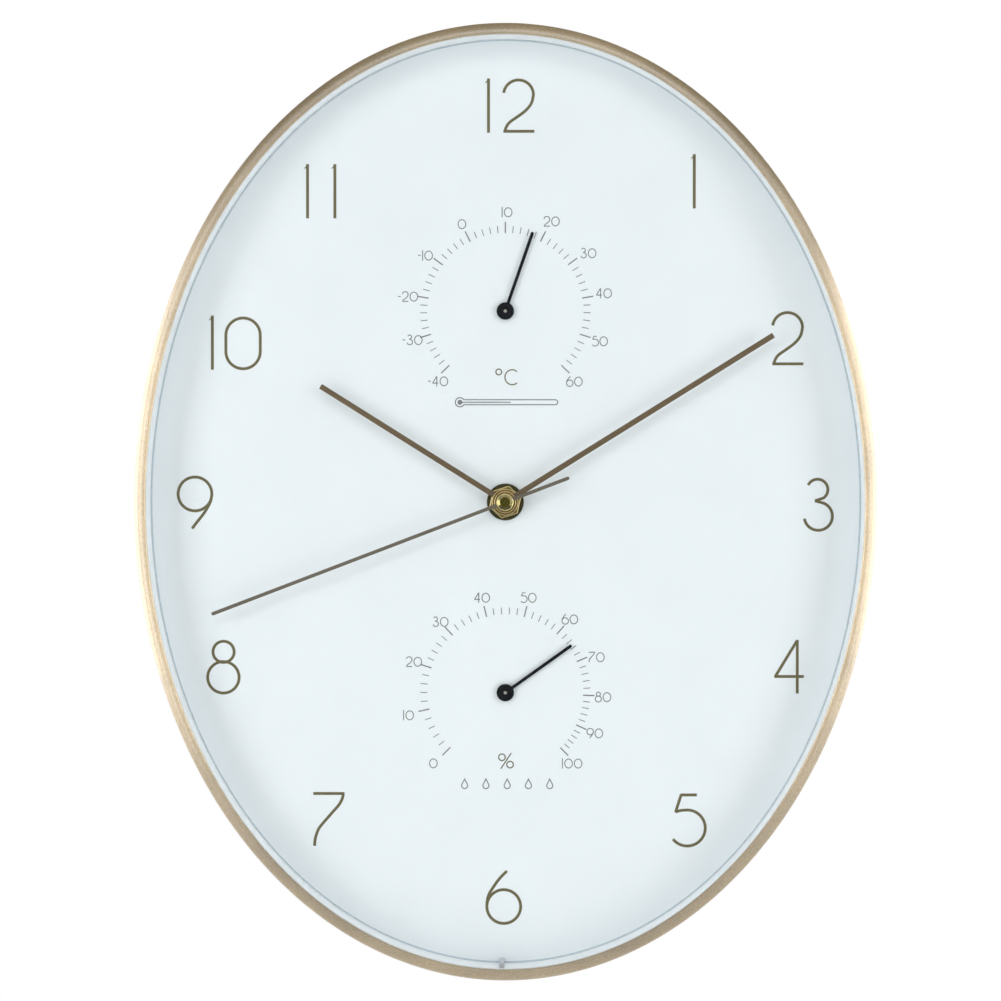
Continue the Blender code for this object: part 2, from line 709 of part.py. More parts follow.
def add_locator(back, clock, root):
    """Low wall on the back plate that keeps the movement from turning."""
    inner = [-CASE_SIDE - FIT, CASE_SIDE + FIT, CASE_BOTTOM - FIT, CASE_TOP + FIT]
    outer = [side + grow * LOCATOR_THICKNESS for side, grow in zip(inner, (-1, 1, -1, 1))]
    loops = [
        rounded_box(*outer, SHELL_CORNER + LOCATOR_THICKNESS),
        rounded_box(*inner, SHELL_CORNER),
    ]
    join(back, flat("locator", loops, BACK_REAR - LOCATOR_HEIGHT, root, clock))


def add_ribs(back, clock, root):
    """Stiffening ribs from the movement's locator out to the skirt."""
    rear = BACK_REAR - RIB_HEIGHT
    skirt_middle = GLASS_INSET + SKIRT_THICKNESS / 2
    side_reach = CASE_WIDTH / 2 - skirt_middle
    side_start = CASE_SIDE + FIT + LOCATOR_THICKNESS / 2
    for name, sign in (("right", 1), ("left", -1)):
        ends = sorted((sign * side_start, sign * side_reach))
        half = RIB_THICKNESS / 2
        join(back, block(f"rib_{name}", (ends[0], -half, rear), (ends[1], half, root), clock))


def clip_screw_spot(share):
    """Where the screw of the clip at this share of the oval goes in."""
    return oval_spot(share, GLASS_INSET + BOSS_DEPTH * CLIP_SCREW_SHARE)[0]


def gauge_screw_spot(side, end):
    """Where a bridge's screw enters the back plate: side picks the gauge, end the foot."""
    reach = GAUGE_OPENING_RADIUS + FIT + BRIDGE_FOOT / 2
    return (end * reach, side * GAUGE_OFFSET)


def hanger_bounds():
    """Left, right, bottom and top of the keyhole plate."""
    top = HANGER_RISE + HANGER_TOP_MARGIN
    return -HANGER_WIDTH / 2, HANGER_WIDTH / 2, top - HANGER_HEIGHT, top


def hanger_screw_spots():
    """Where the two hanger screws stand, left and right of the keyhole."""
    _, right, bottom, top = hanger_bounds()
    reach = right - HANGER_PILLAR_WIDTH / 2
    height = (bottom + top) / 2
    return {"left": (-reach, height), "right": (reach, height)}


def add_hanger_box(back, clock, root):
    """Open box on the back plate, behind which the keyhole plate is screwed."""
    left, right, bottom, top = hanger_bounds()
    rear = HANGER_THICKNESS + FIT
    inner_left = left + HANGER_PILLAR_WIDTH
    inner_right = right - HANGER_PILLAR_WIDTH
    hollow = rounded_box(inner_left, inner_right, bottom + HANGER_BOX_WALL, top - HANGER_BOX_WALL,
                         HANGER_BOX_WALL)
    loops = [rounded_box(left, right, bottom, top, HANGER_CORNER), hollow]
    join(back, flat("hanger_box", loops, rear, root, clock))
    for name, spot in hanger_screw_spots().items():
        cut(back, drum(f"hanger_pilot_{name}", HANGER_SCREW_RADIUS + FIT, rear - OVERRUN,
                       HANGER_SCREW_LENGTH + FIT, clock, steps=SMALL_STEPS, location=(*spot, 0.0)))


def make_clips(clock, finishes):
    """The four spring-steel clips that hook in front of the bead, and their screws."""
    for index, share in enumerate(CLIP_PLACE_SHARES, 1):
        spot, outward = oval_spot(share, CASE_WALL + FIT)
        clip = block(
            f"retaining_clip_{index}",
            (-CLIP_LENGTH, -CLIP_WIDTH / 2, CLIP_BACK),
            (-FIT, CLIP_WIDTH / 2, CLIP_BACK + CLIP_THICKNESS),
            clock,
            finishes["spring_steel"],
            location=(*spot, 0.0),
            rotation=(0.0, 0.0, outward),
        )
        screw_spot = clip_screw_spot(share)
        cut(clip, drum(f"clip_hole_{index}", CLIP_SCREW_RADIUS + FIT, CLIP_BACK - OVERRUN,
                       BOSS_TOP, clock, steps=SMALL_STEPS, location=(*screw_spot, 0.0)))
        make_pan_screw(f"clip_screw_{index}", screw_spot, CLIP_BACK - FIT, CLIP_SCREW_RADIUS,
                       BOSS_TOP + CLIP_SCREW_LENGTH - FIT, CLIP_HEAD_RADIUS, CLIP_HEAD_HEIGHT,
                       clock, finishes["steel"])


def make_pan_screw(name, spot, seat, radius, tip, head_radius, head_height, parent, finish):
    """Pan-head screw with a cross recess, its head behind seat and its tip in front."""
    crown = head_height * CROWN_SHARE
    profile = [
        (0.0, tip),
        (radius / 2, tip),
        (radius, tip - radius),
        (radius, seat),
        (head_radius, seat),
        (head_radius, seat - head_height + crown),
        (head_radius - crown, seat - head_height),
        (0.0, seat - head_height),
    ]
    screw = turned(name, profile, parent, finish, steps=SMALL_STEPS, location=(*spot, 0.0))
    add_recess(screw, spot, seat - head_height, head_radius, head_height / 2, parent)
    return soften(screw)


def add_recess(screw, spot, face, head_radius, depth, parent):
    """Cut a cross recess into a screw's head from behind."""
    long_half = head_radius * RECESS_LENGTH_SHARE
    short_half = head_radius * RECESS_WIDTH_SHARE
    cross = []
    for quarter in range(4):
        turn = RECESS_TURN + quarter * math.pi / 2
        for x, y in ((short_half, short_half), (short_half, long_half), (-short_half, long_half)):
            across = x * math.cos(turn) - y * math.sin(turn)
            along = x * math.sin(turn) + y * math.cos(turn)
            cross.append((across, along))
    cut(screw, flat(f"{screw.name}_recess", [cross], face - OVERRUN, face + depth, parent,
                    location=(*spot, 0.0)))


def make_hanger(clock, finishes):
    """The steel keyhole plate and its two countersunk screws."""
    left, right, bottom, top = hanger_bounds()
    slot_top = top - SLOT_MARGIN - KEYHOLE_SLOT_RADIUS
    entry = slot_top - KEYHOLE_RUN
    spread = math.asin(KEYHOLE_SLOT_RADIUS / KEYHOLE_RADIUS)
    keyhole = arc(KEYHOLE_SLOT_RADIUS, 0.0, math.pi, SMALL_STEPS // 2, (0.0, slot_top))
    keyhole += arc(KEYHOLE_RADIUS, math.pi / 2 + spread, 5 * math.pi / 2 - spread, ROUND_STEPS,
                   (0.0, entry))
    outline = rounded_box(left, right, bottom, top, HANGER_CORNER)
    plate = flat("hanger_plate", [outline, keyhole], 0.0, HANGER_THICKNESS, clock, finishes["steel"])
    for name, spot in hanger_screw_spots().items():
        bore = HANGER_SCREW_RADIUS + FIT
        mouth = HANGER_HEAD_RADIUS + FIT
        sink = mouth - bore
        tool = [
            (0.0, HANGER_THICKNESS + OVERRUN),
            (bore, HANGER_THICKNESS + OVERRUN),
            (bore, sink),
            (mouth, 0.0),
            (mouth, -OVERRUN),
            (0.0, -OVERRUN),
        ]
        cut(plate, turned(f"countersink_{name}", tool, clock, steps=SMALL_STEPS, location=(*spot, 0.0)))
        radius = HANGER_SCREW_RADIUS
        tip = HANGER_SCREW_LENGTH
        profile = [
            (0.0, tip),
            (radius / 2, tip),
            (radius, tip - radius),
            (radius, sink),
            (HANGER_HEAD_RADIUS, 0.0),
            (0.0, 0.0),
        ]
        screw = turned(f"hanger_screw_{name}", profile, clock, finishes["steel"], steps=SMALL_STEPS,
                       location=(*spot, 0.0))
        add_recess(screw, spot, 0.0, HANGER_HEAD_RADIUS, HANGER_THICKNESS / 2, clock)
        soften(screw)


def make_stack(clock, finishes):
    """What clamps the movement to the dial: bushing, rubber seal, washer and hexagon nut."""
    flange_back = MOVEMENT_FRONT + FIT
    flange_radius = SEAL_BORE - FIT
    bushing = [
        (BUSHING_BORE, BUSHING_TOP),
        (BUSHING_RADIUS, BUSHING_TOP),
        (BUSHING_RADIUS, flange_back + SEAL_THICKNESS),
        (flange_radius, flange_back + SEAL_THICKNESS),
        (flange_radius, flange_back),
        (BUSHING_RADIUS, flange_back),
        (BUSHING_RADIUS, MOVEMENT_FRONT - SHELL),
        (BUSHING_BORE, MOVEMENT_FRONT - SHELL),
    ]
    soften(turned("threaded_bushing", bushing, clock, finishes["brass"], ring=True, steps=PIPE_STEPS))
    soften(tube("rubber_washer", SEAL_BORE, SEAL_RADIUS, flange_back, flange_back + SEAL_THICKNESS,
                clock, finishes["rubber"]))
    soften(tube("dial_washer", BUSHING_HOLE, DIAL_WASHER_RADIUS, WASHER_BACK,
                WASHER_BACK + DIAL_WASHER_THICKNESS, clock, finishes["dark_steel"]))
    corner = NUT_WIDTH / 2 / math.cos(math.pi / 6)
    hexagon = [polar(corner, NUT_TURN + math.pi / 3 * side) for side in range(6)]
    flat("hex_nut", [hexagon, circle(BUSHING_HOLE, steps=PIPE_STEPS)], NUT_BACK,
         NUT_BACK + NUT_THICKNESS, clock, finishes["brass"])


def make_hand(name, axis, finish, outline, bore, back, front):
    """A flat hand on a short tube that grips its pipe."""
    blade_back = front - HAND_THICKNESS
    loops = [outline, circle(bore + COLLET_WALL / 2, steps=SMALL_STEPS)]
    hand = flat(name, loops, blade_back, front, axis, finish)
    join(hand, tube(f"{name}_collet", bore, bore + COLLET_WALL, back, front + COLLET_PROUD, axis,
                    steps=PIPE_STEPS))
    return soften(hand)


def make_hands(axes, finishes):
    """Hour, minute and second hands, and the brass cap that carries the second hand."""
    hour_back = BUSHING_TOP + FIT
    make_hand("hour_hand", axes["hour"], finishes["bronze"],
              hand_outline(HOUR_HAND_WIDTH, HOUR_HAND_LENGTH, HOUR_EYE_RADIUS),
              HOUR_PIPE_RADIUS + FIT, hour_back, hour_back + COLLET_HEIGHT)
    minute_back = HOUR_PIPE_TOP + FIT
    make_hand("minute_hand", axes["minute"], finishes["bronze"],
              hand_outline(MINUTE_HAND_WIDTH, MINUTE_HAND_LENGTH, MINUTE_EYE_RADIUS),
              MINUTE_PIPE_RADIUS + FIT, minute_back, minute_back + COLLET_HEIGHT)
    bore = SECOND_ARBOR_RADIUS + FIT
    stem = bore + COLLET_WALL / 2
    outline = hand_outline(SECOND_HAND_WIDTH, SECOND_HAND_LENGTH, SECOND_EYE_RADIUS,
                           SECOND_HAND_TAIL, round_end=True)
    flat("second_hand", [outline, circle(stem + FIT, steps=SMALL_STEPS)],
         CAP_BACK - FIT - HAND_THICKNESS, CAP_BACK - FIT, axes["second"], finishes["bronze"])
    cap_top = CAP_BACK + CAP_HEIGHT
    bead = (CAP_RADIUS - CAP_DISH_RADIUS) / 2
    cap = [(0.0, cap_top - CAP_DISH_DEPTH), (CAP_DISH_RADIUS, cap_top - CAP_DISH_DEPTH)]
    cap += [
        (CAP_RADIUS - bead - bead * math.cos(turn), cap_top - bead + bead * math.sin(turn))
        for turn in (math.pi / 4, math.pi / 2, math.pi * 3 / 4)
    ]
    cap += [
        (CAP_RADIUS, cap_top - bead),
        (CAP_RADIUS, CAP_BACK),
        (stem, CAP_BACK),
        (stem, MINUTE_PIPE_TOP + FIT),
        (bore, MINUTE_PIPE_TOP + FIT),
        (bore, CAP_BACK + FIT),
        (0.0, CAP_BACK + FIT),
    ]
    soften(turned("second_hand_cap", cap, axes["second"], finishes["polished_brass"]))


def wheel_on_arbor(name, axis, finish, parts, radius, back, front):
    """A wheel and a pinion fused to one arbor: parts holds an outline and a level for each."""
    arbor = drum(name, radius, back, front, axis, finish, steps=SMALL_STEPS)
    for index, (outline, number) in enumerate(parts):
        low, high = level(number)
        join(arbor, flat(f"{name}_{index}", [outline], low, high, axis))
    return arbor


def make_running_train(axes, finishes):
    """Rotor, intermediate, second and third wheels and the clutch wheel on the minute pipe."""
    rotor_phase = ROTOR_BEARING + math.pi
    wheel_phase = meshed_phase(ROTOR_TEETH, rotor_phase, INTERMEDIATE_TEETH, rotor_phase)
    rotor_pinion = gear(ROTOR_TEETH, ROTOR_MODULE, rotor_phase)
    rotor = wheel_on_arbor("rotor", axes["rotor"], finishes["magnet"],
                          [(rotor_pinion, ROTOR_LEVEL)],
                           ARBOR_RADIUS, PIVOT_REAR, PIVOT_FRONT)
    magnet_back = stator_back() + STATOR_THICKNESS / 2 - MAGNET_LENGTH / 2
    join(rotor, drum("rotor_magnet", MAGNET_RADIUS, magnet_back, magnet_back + MAGNET_LENGTH,
                     axes["rotor"]))

    down = INTERMEDIATE_BEARING + math.pi
    pinion_phase = down
    second_phase = meshed_phase(INTERMEDIATE_PINION_TEETH, pinion_phase, SECOND_TEETH, down)
    parts = [
        (gear(INTERMEDIATE_TEETH, ROTOR_MODULE, wheel_phase), ROTOR_LEVEL),
        (gear(INTERMEDIATE_PINION_TEETH, INTERMEDIATE_MODULE, pinion_phase), SECOND_LEVEL),
    ]
    wheel_on_arbor("intermediate_wheel", axes["intermediate"], finishes["acetal"], parts,
                   ARBOR_RADIUS, PIVOT_REAR, level(THIRD_LEVEL)[1])

    third_phase = meshed_phase(SECOND_PINION_TEETH, THIRD_BEARING, THIRD_TEETH, THIRD_BEARING)
    parts = [
        (gear(SECOND_TEETH, INTERMEDIATE_MODULE, second_phase), SECOND_LEVEL),
        (gear(SECOND_PINION_TEETH, SECOND_MODULE, THIRD_BEARING), THIRD_LEVEL),
    ]
    wheel_on_arbor("second_wheel", axes["second_wheel"], finishes["acetal"], parts,
                   SECOND_ARBOR_RADIUS, PIVOT_REAR, CAP_BACK)

    back_to_centre = THIRD_BEARING + math.pi
    centre_phase = meshed_phase(THIRD_PINION_TEETH, back_to_centre, CENTRE_TEETH, back_to_centre)
    parts = [
        (gear(THIRD_TEETH, SECOND_MODULE, third_phase), THIRD_LEVEL),
        (gear(THIRD_PINION_TEETH, CENTRE_MODULE, back_to_centre), CENTRE_LEVEL),
    ]
    wheel_on_arbor("third_wheel", axes["third"], finishes["acetal"], parts,
                   ARBOR_RADIUS, PIVOT_REAR, PIVOT_FRONT)

    low, high = level(CENTRE_LEVEL)
    loops = [gear(CENTRE_TEETH, CENTRE_MODULE, centre_phase), circle(MINUTE_PIPE_RADIUS + FIT)]
    flat("centre_wheel", loops, low, high, axes["centre"], finishes["acetal"])


def make_motion_work(axes, finishes):
    """Minute pipe, reversing wheel with the knob's shaft, hour wheel and setting knob."""
    bearing = REVERSING_BEARING
    low, high = level(MINUTE_LEVEL)
    clutch_back = level(CENTRE_LEVEL)[0]
    collar_front = clutch_back - FIT
    collar_back = collar_front - COLLAR_THICKNESS
    pipe = [
        (MINUTE_BORE, MINUTE_PIPE_TOP),
        (MINUTE_PIPE_RADIUS, MINUTE_PIPE_TOP),
        (MINUTE_PIPE_RADIUS, collar_front),
        (COLLAR_RADIUS, collar_front),
        (COLLAR_RADIUS, collar_back),
        (MINUTE_BORE, collar_back),
    ]
    minute = turned("minute_pipe", pipe, axes["minute_pipe"], finishes["brass"], ring=True,
                    steps=PIPE_STEPS)
    pinion_bore = circle((MINUTE_BORE + MINUTE_PIPE_RADIUS) / 2, steps=SMALL_STEPS)
    pinion = [gear(MINUTE_PINION_TEETH, MINUTE_MODULE, bearing), pinion_bore]
    join(minute, flat("minute_pinion", pinion, low, high, axes["minute_pipe"]))

    reversing_phase = meshed_phase(MINUTE_PINION_TEETH, bearing, REVERSING_TEETH, bearing)
    back_to_centre = bearing + math.pi
    parts = [
        (gear(REVERSING_TEETH, MINUTE_MODULE, reversing_phase), MINUTE_LEVEL),
        (gear(REVERSING_PINION_TEETH, HOUR_MODULE, back_to_centre), HOUR_LEVEL),
    ]
    knob_seat = MOVEMENT_REAR - FIT
    wheel_on_arbor("reversing_wheel", axes["reversing"], finishes["acetal"], parts,
                   KNOB_SHAFT_RADIUS, knob_seat - KNOB_HEIGHT / 2, PIVOT_FRONT)
    grip = KNOB_RADIUS - KNOB_GRIP_DEPTH
    rim = []
    for step in range(2 * KNOB_GRIPS):
        turn = math.tau * step / (2 * KNOB_GRIPS)
        rim.append(polar(KNOB_RADIUS if step % 2 else grip, turn))
    knob = flat("setting_knob", [rim], knob_seat - KNOB_HEIGHT, knob_seat, axes["reversing"],
                finishes["moulding"])
    cut(knob, drum("knob_socket", KNOB_SHAFT_RADIUS + FIT, knob_seat - KNOB_HEIGHT / 2 - FIT,
                   knob_seat + OVERRUN, axes["reversing"], steps=SMALL_STEPS))

    hour_phase = meshed_phase(REVERSING_PINION_TEETH, back_to_centre, HOUR_TEETH, back_to_centre)
    low, high = level(HOUR_LEVEL)
    hour = tube("hour_wheel", HOUR_BORE, HOUR_PIPE_RADIUS, low - FIT / 2, HOUR_PIPE_TOP,
                axes["hour_wheel"], finishes["brass"], steps=PIPE_STEPS)
    wheel_bore = circle((HOUR_BORE + HOUR_PIPE_RADIUS) / 2, steps=SMALL_STEPS)
    loops = [gear(HOUR_TEETH, HOUR_MODULE, hour_phase), wheel_bore]
    join(hour, flat("hour_gear", loops, low, high, axes["hour_wheel"]))


def stator_back():
    """Rear face of the stator, just in front of the intermediate pinion's level."""
    return level(THIRD_LEVEL)[0] + STATOR_ROOM / 2


def make_motor(clock, finishes):
    """Stator, coil core, bobbin and winding of the stepping motor."""
    x, y = ROTOR_PLACE
    back = stator_back()
    front = back + STATOR_THICKNESS
    left = x - STATOR_LEFT
    right = x + STATOR_RIGHT
    hole = MAGNET_RADIUS + STATOR_ROOM
    ring = hole + STATOR_RING_WIDTH
    half = STATOR_BAR_WIDTH / 2
    top = COIL_HEIGHT + LEG_WIDTH / 2
    spread = math.asin(half / ring)
    lower = arc(ring, math.pi + spread, math.tau - spread, SMALL_STEPS // 2, ROTOR_PLACE)
    upper = arc(ring, spread, math.pi - spread, SMALL_STEPS // 2, ROTOR_PLACE)
    outline = [
        (left, y - half),
        *lower,
        (right, y - half),
        (right, top),
        (right - LEG_WIDTH, top),
        (right - LEG_WIDTH, y + half),
        *upper,
        (left + LEG_WIDTH, y + half),
        (left + LEG_WIDTH, top),
        (left, top),
    ]
    flat("stator", [outline, circle(hole, ROTOR_PLACE)], back, front, clock, finishes["silicon_steel"])
    core_front = back - FIT
    core_back = core_front - CORE_THICKNESS
    block("coil_core", (left, COIL_HEIGHT - LEG_WIDTH / 2, core_back), (right, top, core_front), clock,
          finishes["silicon_steel"])
    start = left + LEG_WIDTH + FIT
    end = right - LEG_WIDTH - FIT
    barrel = BOBBIN_BORE_RADIUS + BOBBIN_WALL
    inner_start = start + BOBBIN_FLANGE_THICKNESS
    inner_end = end - BOBBIN_FLANGE_THICKNESS
    middle = (0.0, COIL_HEIGHT, (core_front + core_back) / 2)
    lying = (0.0, math.pi / 2, 0.0)  # turns a piece's own axis along X
    bobbin = [
        (BOBBIN_BORE_RADIUS, end),
        (BOBBIN_FLANGE_RADIUS, end),
        (BOBBIN_FLANGE_RADIUS, inner_end),
        (barrel, inner_end),
        (barrel, inner_start),
        (BOBBIN_FLANGE_RADIUS, inner_start),
        (BOBBIN_FLANGE_RADIUS, start),
        (BOBBIN_BORE_RADIUS, start),
    ]
    soften(turned("coil_bobbin", bobbin, clock, finishes["moulding"], ring=True, steps=SMALL_STEPS,
                  location=middle, rotation=lying))
    soften(tube("coil_winding", barrel + FIT, barrel + FIT + WINDING_DEPTH, inner_start + FIT,
                inner_end - FIT, clock, finishes["copper"], steps=SMALL_STEPS, location=middle,
                rotation=lying))


def make_circuit(clock, finishes):
    """Circuit board and the can of its quartz crystal."""
    inner_right = CASE_SIDE - SHELL - FIT
    inner_top = CASE_TOP - SHELL - FIT
    back = COVER_FRONT + PIVOT_LENGTH
    front = back + BOARD_THICKNESS
    board = rounded_box(BOARD_LEFT, inner_right, BOARD_BOTTOM, inner_top, SHELL_CORNER - SHELL)
    flat("circuit_board", [board], back, front, clock, finishes["board"])
    middle = (inner_right - CRYSTAL_MARGIN, inner_top - CRYSTAL_MARGIN, front + FIT + CRYSTAL_RADIUS)
    soften(drum("quartz_crystal", CRYSTAL_RADIUS, 0.0, CRYSTAL_LENGTH, clock, finishes["steel"],
                steps=SMALL_STEPS, location=middle, rotation=(math.pi / 2, 0.0, 0.0)))


def make_battery(clock, finishes):
    """AA battery with its positive plate contact and its folded negative leaf."""
    inner = CASE_SIDE - SHELL
    nose = inner - POSITIVE_ROOM
    shoulder = nose - BATTERY_BUTTON_LENGTH
    tail = shoulder - BATTERY_LENGTH
    chamfer = BATTERY_BUTTON_LENGTH / 2
    profile = [
        (0.0, nose),
        (BATTERY_BUTTON_RADIUS, nose),
        (BATTERY_BUTTON_RADIUS, shoulder),
        (BATTERY_RADIUS - chamfer, shoulder),
        (BATTERY_RADIUS, shoulder - chamfer),
        (BATTERY_RADIUS, tail),
        (0.0, tail),
    ]
    middle = (0.0, BATTERY_HEIGHT, BATTERY_DEPTH)
    soften(turned("battery", profile, clock, finishes["battery"], location=middle,
                  rotation=(0.0, math.pi / 2, 0.0)))
    half = CONTACT_WIDTH / 2
    low = BATTERY_HEIGHT - half
    high = BATTERY_HEIGHT + half
    shelf = MOVEMENT_FRONT - SHELL - FIT
    rear = BATTERY_DEPTH - half
    block("battery_contact_positive", (nose + FIT, low, rear),
          (nose + FIT + CONTACT_THICKNESS, high, shelf), clock, finishes["nickel"])
    outer = FIT - inner
    fold = outer + LEAF_DEPTH
    thick = CONTACT_THICKNESS
    leaf = [
        (outer, shelf),
        (outer, rear),
        (fold, BATTERY_DEPTH - LEAF_FOLD / 2),
        (fold, BATTERY_DEPTH + LEAF_FOLD / 2),
        (fold - thick, BATTERY_DEPTH + LEAF_FOLD / 2),
        (fold - thick, BATTERY_DEPTH - LEAF_FOLD / 2 + thick),
        (outer + thick, rear + 2 * thick),
        (outer + thick, shelf),
    ]
    standing = (math.pi / 2, 0.0, 0.0)  # the leaf's outline lies in X and Z, its width along Y
    flat("battery_contact_negative", [leaf], -high, -low, clock, finishes["nickel"],
         rotation=standing)


def make_movement_case(clock, finishes):
    """The moulded tray that holds the train and the battery, and the cover behind the train."""
    front_plate = rounded_box(-CASE_SIDE, CASE_SIDE, CASE_BOTTOM, CASE_TOP, SHELL_CORNER)
    holes = [circle(BUSHING_HOLE)]
    for place, radius in (
        (THIRD_PLACE, ARBOR_RADIUS),
        (ROTOR_PLACE, ARBOR_RADIUS),
        (REVERSING_PLACE, KNOB_SHAFT_RADIUS),
    ):
        holes.append(circle(radius + FIT, place, SMALL_STEPS))
    floor = MOVEMENT_FRONT - SHELL
    tray = flat("movement_case", [front_plate, *holes], floor, MOVEMENT_FRONT, clock,
                finishes["movement_plastic"])
    inner = CASE_SIDE - SHELL
    corner = SHELL_CORNER - SHELL
    bite = floor + SHELL / 2
    train_room = rounded_box(-inner, inner, BAY_TOP + SHELL, CASE_TOP - SHELL, corner)
    bay_room = rounded_box(-inner, inner, CASE_BOTTOM + SHELL, BAY_TOP, corner)
    join(tray, flat("case_walls", [front_plate, train_room, bay_room], TRAY_REAR, bite, clock))

    cover_loop = rounded_box(-CASE_SIDE, CASE_SIDE, BAY_TOP, CASE_TOP, SHELL_CORNER)
    shaft_hole = circle(KNOB_SHAFT_RADIUS + FIT, REVERSING_PLACE, SMALL_STEPS)
    cover = flat("movement_cover", [cover_loop, shaft_hole], MOVEMENT_REAR, COVER_FRONT, clock,
                 finishes["movement_plastic"])
    for name, place in (
        ("rotor", ROTOR_PLACE),
        ("intermediate", INTERMEDIATE_PLACE),
        ("second", CENTRE),
        ("third", THIRD_PLACE),
    ):
        bore = ARBOR_RADIUS + FIT
        join(cover, tube(f"{name}_pillar", bore, bore + PILLAR_WALL, COVER_FRONT - SHELL / 2,
                         PILLAR_FRONT, clock, steps=SMALL_STEPS, location=(*place, 0.0)))
    reach = CASE_SIDE + FIT
    middle = (BAY_TOP + CASE_TOP) / 2
    for name, sign in (("right", 1), ("left", -1)):
        outer = sorted((sign * reach, sign * (reach + SHELL)))
        hook = block(f"latch_{name}", (outer[0], middle - LATCH_WIDTH / 2, MOVEMENT_REAR),
                     (outer[1], middle + LATCH_WIDTH / 2, COVER_FRONT + LATCH_LENGTH), clock)
        bridge = sorted((sign * (CASE_SIDE - SHELL), sign * (reach + SHELL)))
        join(cover, hook)
        join(cover, block(f"latch_root_{name}", (bridge[0], middle - LATCH_WIDTH / 2, MOVEMENT_REAR),
                          (bridge[1], middle + LATCH_WIDTH / 2, COVER_FRONT), clock))


def spiral_outline():
    """Outline of a flat spiral strip, from the arbor out to the bridge's leg."""
    inner_radius = GAUGE_ARBOR_RADIUS + FIT + SPIRAL_THICKNESS / 2
    count = SPIRAL_TURNS * SPIRAL_STEPS
    outside = []
    inside = []
    for step in range(count + 1):
        share = step / count
        radius = inner_radius + (SPIRAL_RADIUS - inner_radius) * share
        angle = math.tau * SPIRAL_TURNS * share
        outside.append(polar(radius + SPIRAL_THICKNESS / 2, angle))
        inside.append(polar(radius - SPIRAL_THICKNESS / 2, angle))
    half = SPIRAL_THICKNESS / 2
    tab_end = GAUGE_OPENING_RADIUS - 2 * FIT - BRIDGE_THICKNESS
    tab = [(SPIRAL_RADIUS + half, -half), (tab_end, -half), (tab_end, half), (SPIRAL_RADIUS - half, half)]
    return [*outside[:-1], *tab, *reversed(inside[:-1])]


def make_gauge(name, side, turn, length, clock, finishes):
    """Pointer, arbor, sensing spiral, bridge and screws of one gauge."""
    middle = (0.0, side * GAUGE_OFFSET, 0.0)
    axis = pivot(f"{name}_axis", middle, clock, (0.0, 0.0, -turn))
    seat = pivot(f"{name}_seat", middle, clock)
    hub_front = POINTER_BACK + POINTER_HUB_HEIGHT
    bore = GAUGE_ARBOR_RADIUS + FIT
    inside_hub = (bore + POINTER_HUB_RADIUS) / 2
    outline = hand_outline(POINTER_WIDTH, length, inside_hub)
    blade_back = POINTER_BACK + FIT
    loops = [outline, circle((bore + inside_hub) / 2)]
    pointer = flat(f"{name}_pointer", loops, blade_back, blade_back + POINTER_THICKNESS, axis,
                   finishes["black"])
    join(pointer, tube(f"{name}_hub", bore, POINTER_HUB_RADIUS, POINTER_BACK, hub_front, axis))
    soften(pointer)
    soften(drum(f"{name}_arbor", GAUGE_ARBOR_RADIUS, BRIDGE_BACK - ARBOR_PROUD,
                hub_front + ARBOR_PROUD, axis, finishes["brass"], steps=SMALL_STEPS))
    flat(f"{name}_spiral", [spiral_outline()], SPIRAL_BACK, SPIRAL_FRONT, seat,
         finishes[f"{name}_strip"])
    make_bridge(name, seat, bore, finishes)
    for number, end in ((1, 1), (2, -1)):
        spot = gauge_screw_spot(side, end)
        foot_rear = BACK_REAR - FIT - BRIDGE_THICKNESS
        make_pan_screw(f"{name}_screw_{number}", spot, foot_rear - FIT, GAUGE_SCREW_RADIUS,
                       BACK_REAR + GAUGE_SCREW_BITE, GAUGE_HEAD_RADIUS, GAUGE_HEAD_HEIGHT, clock,
                       finishes["steel"])


def make_bridge(name, seat, bore, finishes):
    """Bent strip that spans the opening behind the spiral and carries the arbor's rear end."""
    thick = BRIDGE_THICKNESS
    leg = GAUGE_OPENING_RADIUS - FIT
    foot_front = BACK_REAR - FIT
    foot_end = GAUGE_OPENING_RADIUS + FIT + BRIDGE_FOOT
    right = [
        (foot_end, foot_front),
        (leg - thick, foot_front),
        (leg - thick, BRIDGE_FRONT),
    ]
    right_rear = [
        (leg, BRIDGE_BACK),
        (leg, foot_front - thick),
        (foot_end, foot_front - thick),
    ]
    left = [(-x, z) for x, z in reversed(right)]
    left_rear = [(-x, z) for x, z in reversed(right_rear)]
    outline = [*right, *left, *left_rear, *right_rear]
    bridge = flat(f"{name}_bridge", [outline], -BRIDGE_WIDTH / 2, BRIDGE_WIDTH / 2, seat,
                  finishes["zinc"], rotation=(math.pi / 2, 0.0, 0.0))
    cut(bridge, drum(f"{name}_bearing", bore, BRIDGE_BACK - OVERRUN, BRIDGE_FRONT + OVERRUN, seat,
                     steps=SMALL_STEPS))
    for end in (1, -1):
        reach = gauge_screw_spot(1, end)[0]
        cut(bridge, drum(f"{name}_foot_hole_{end}", GAUGE_SCREW_RADIUS + FIT,
                         foot_front - thick - OVERRUN, foot_front + OVERRUN, seat,
                         steps=SMALL_STEPS, location=(reach, 0.0, 0.0)))


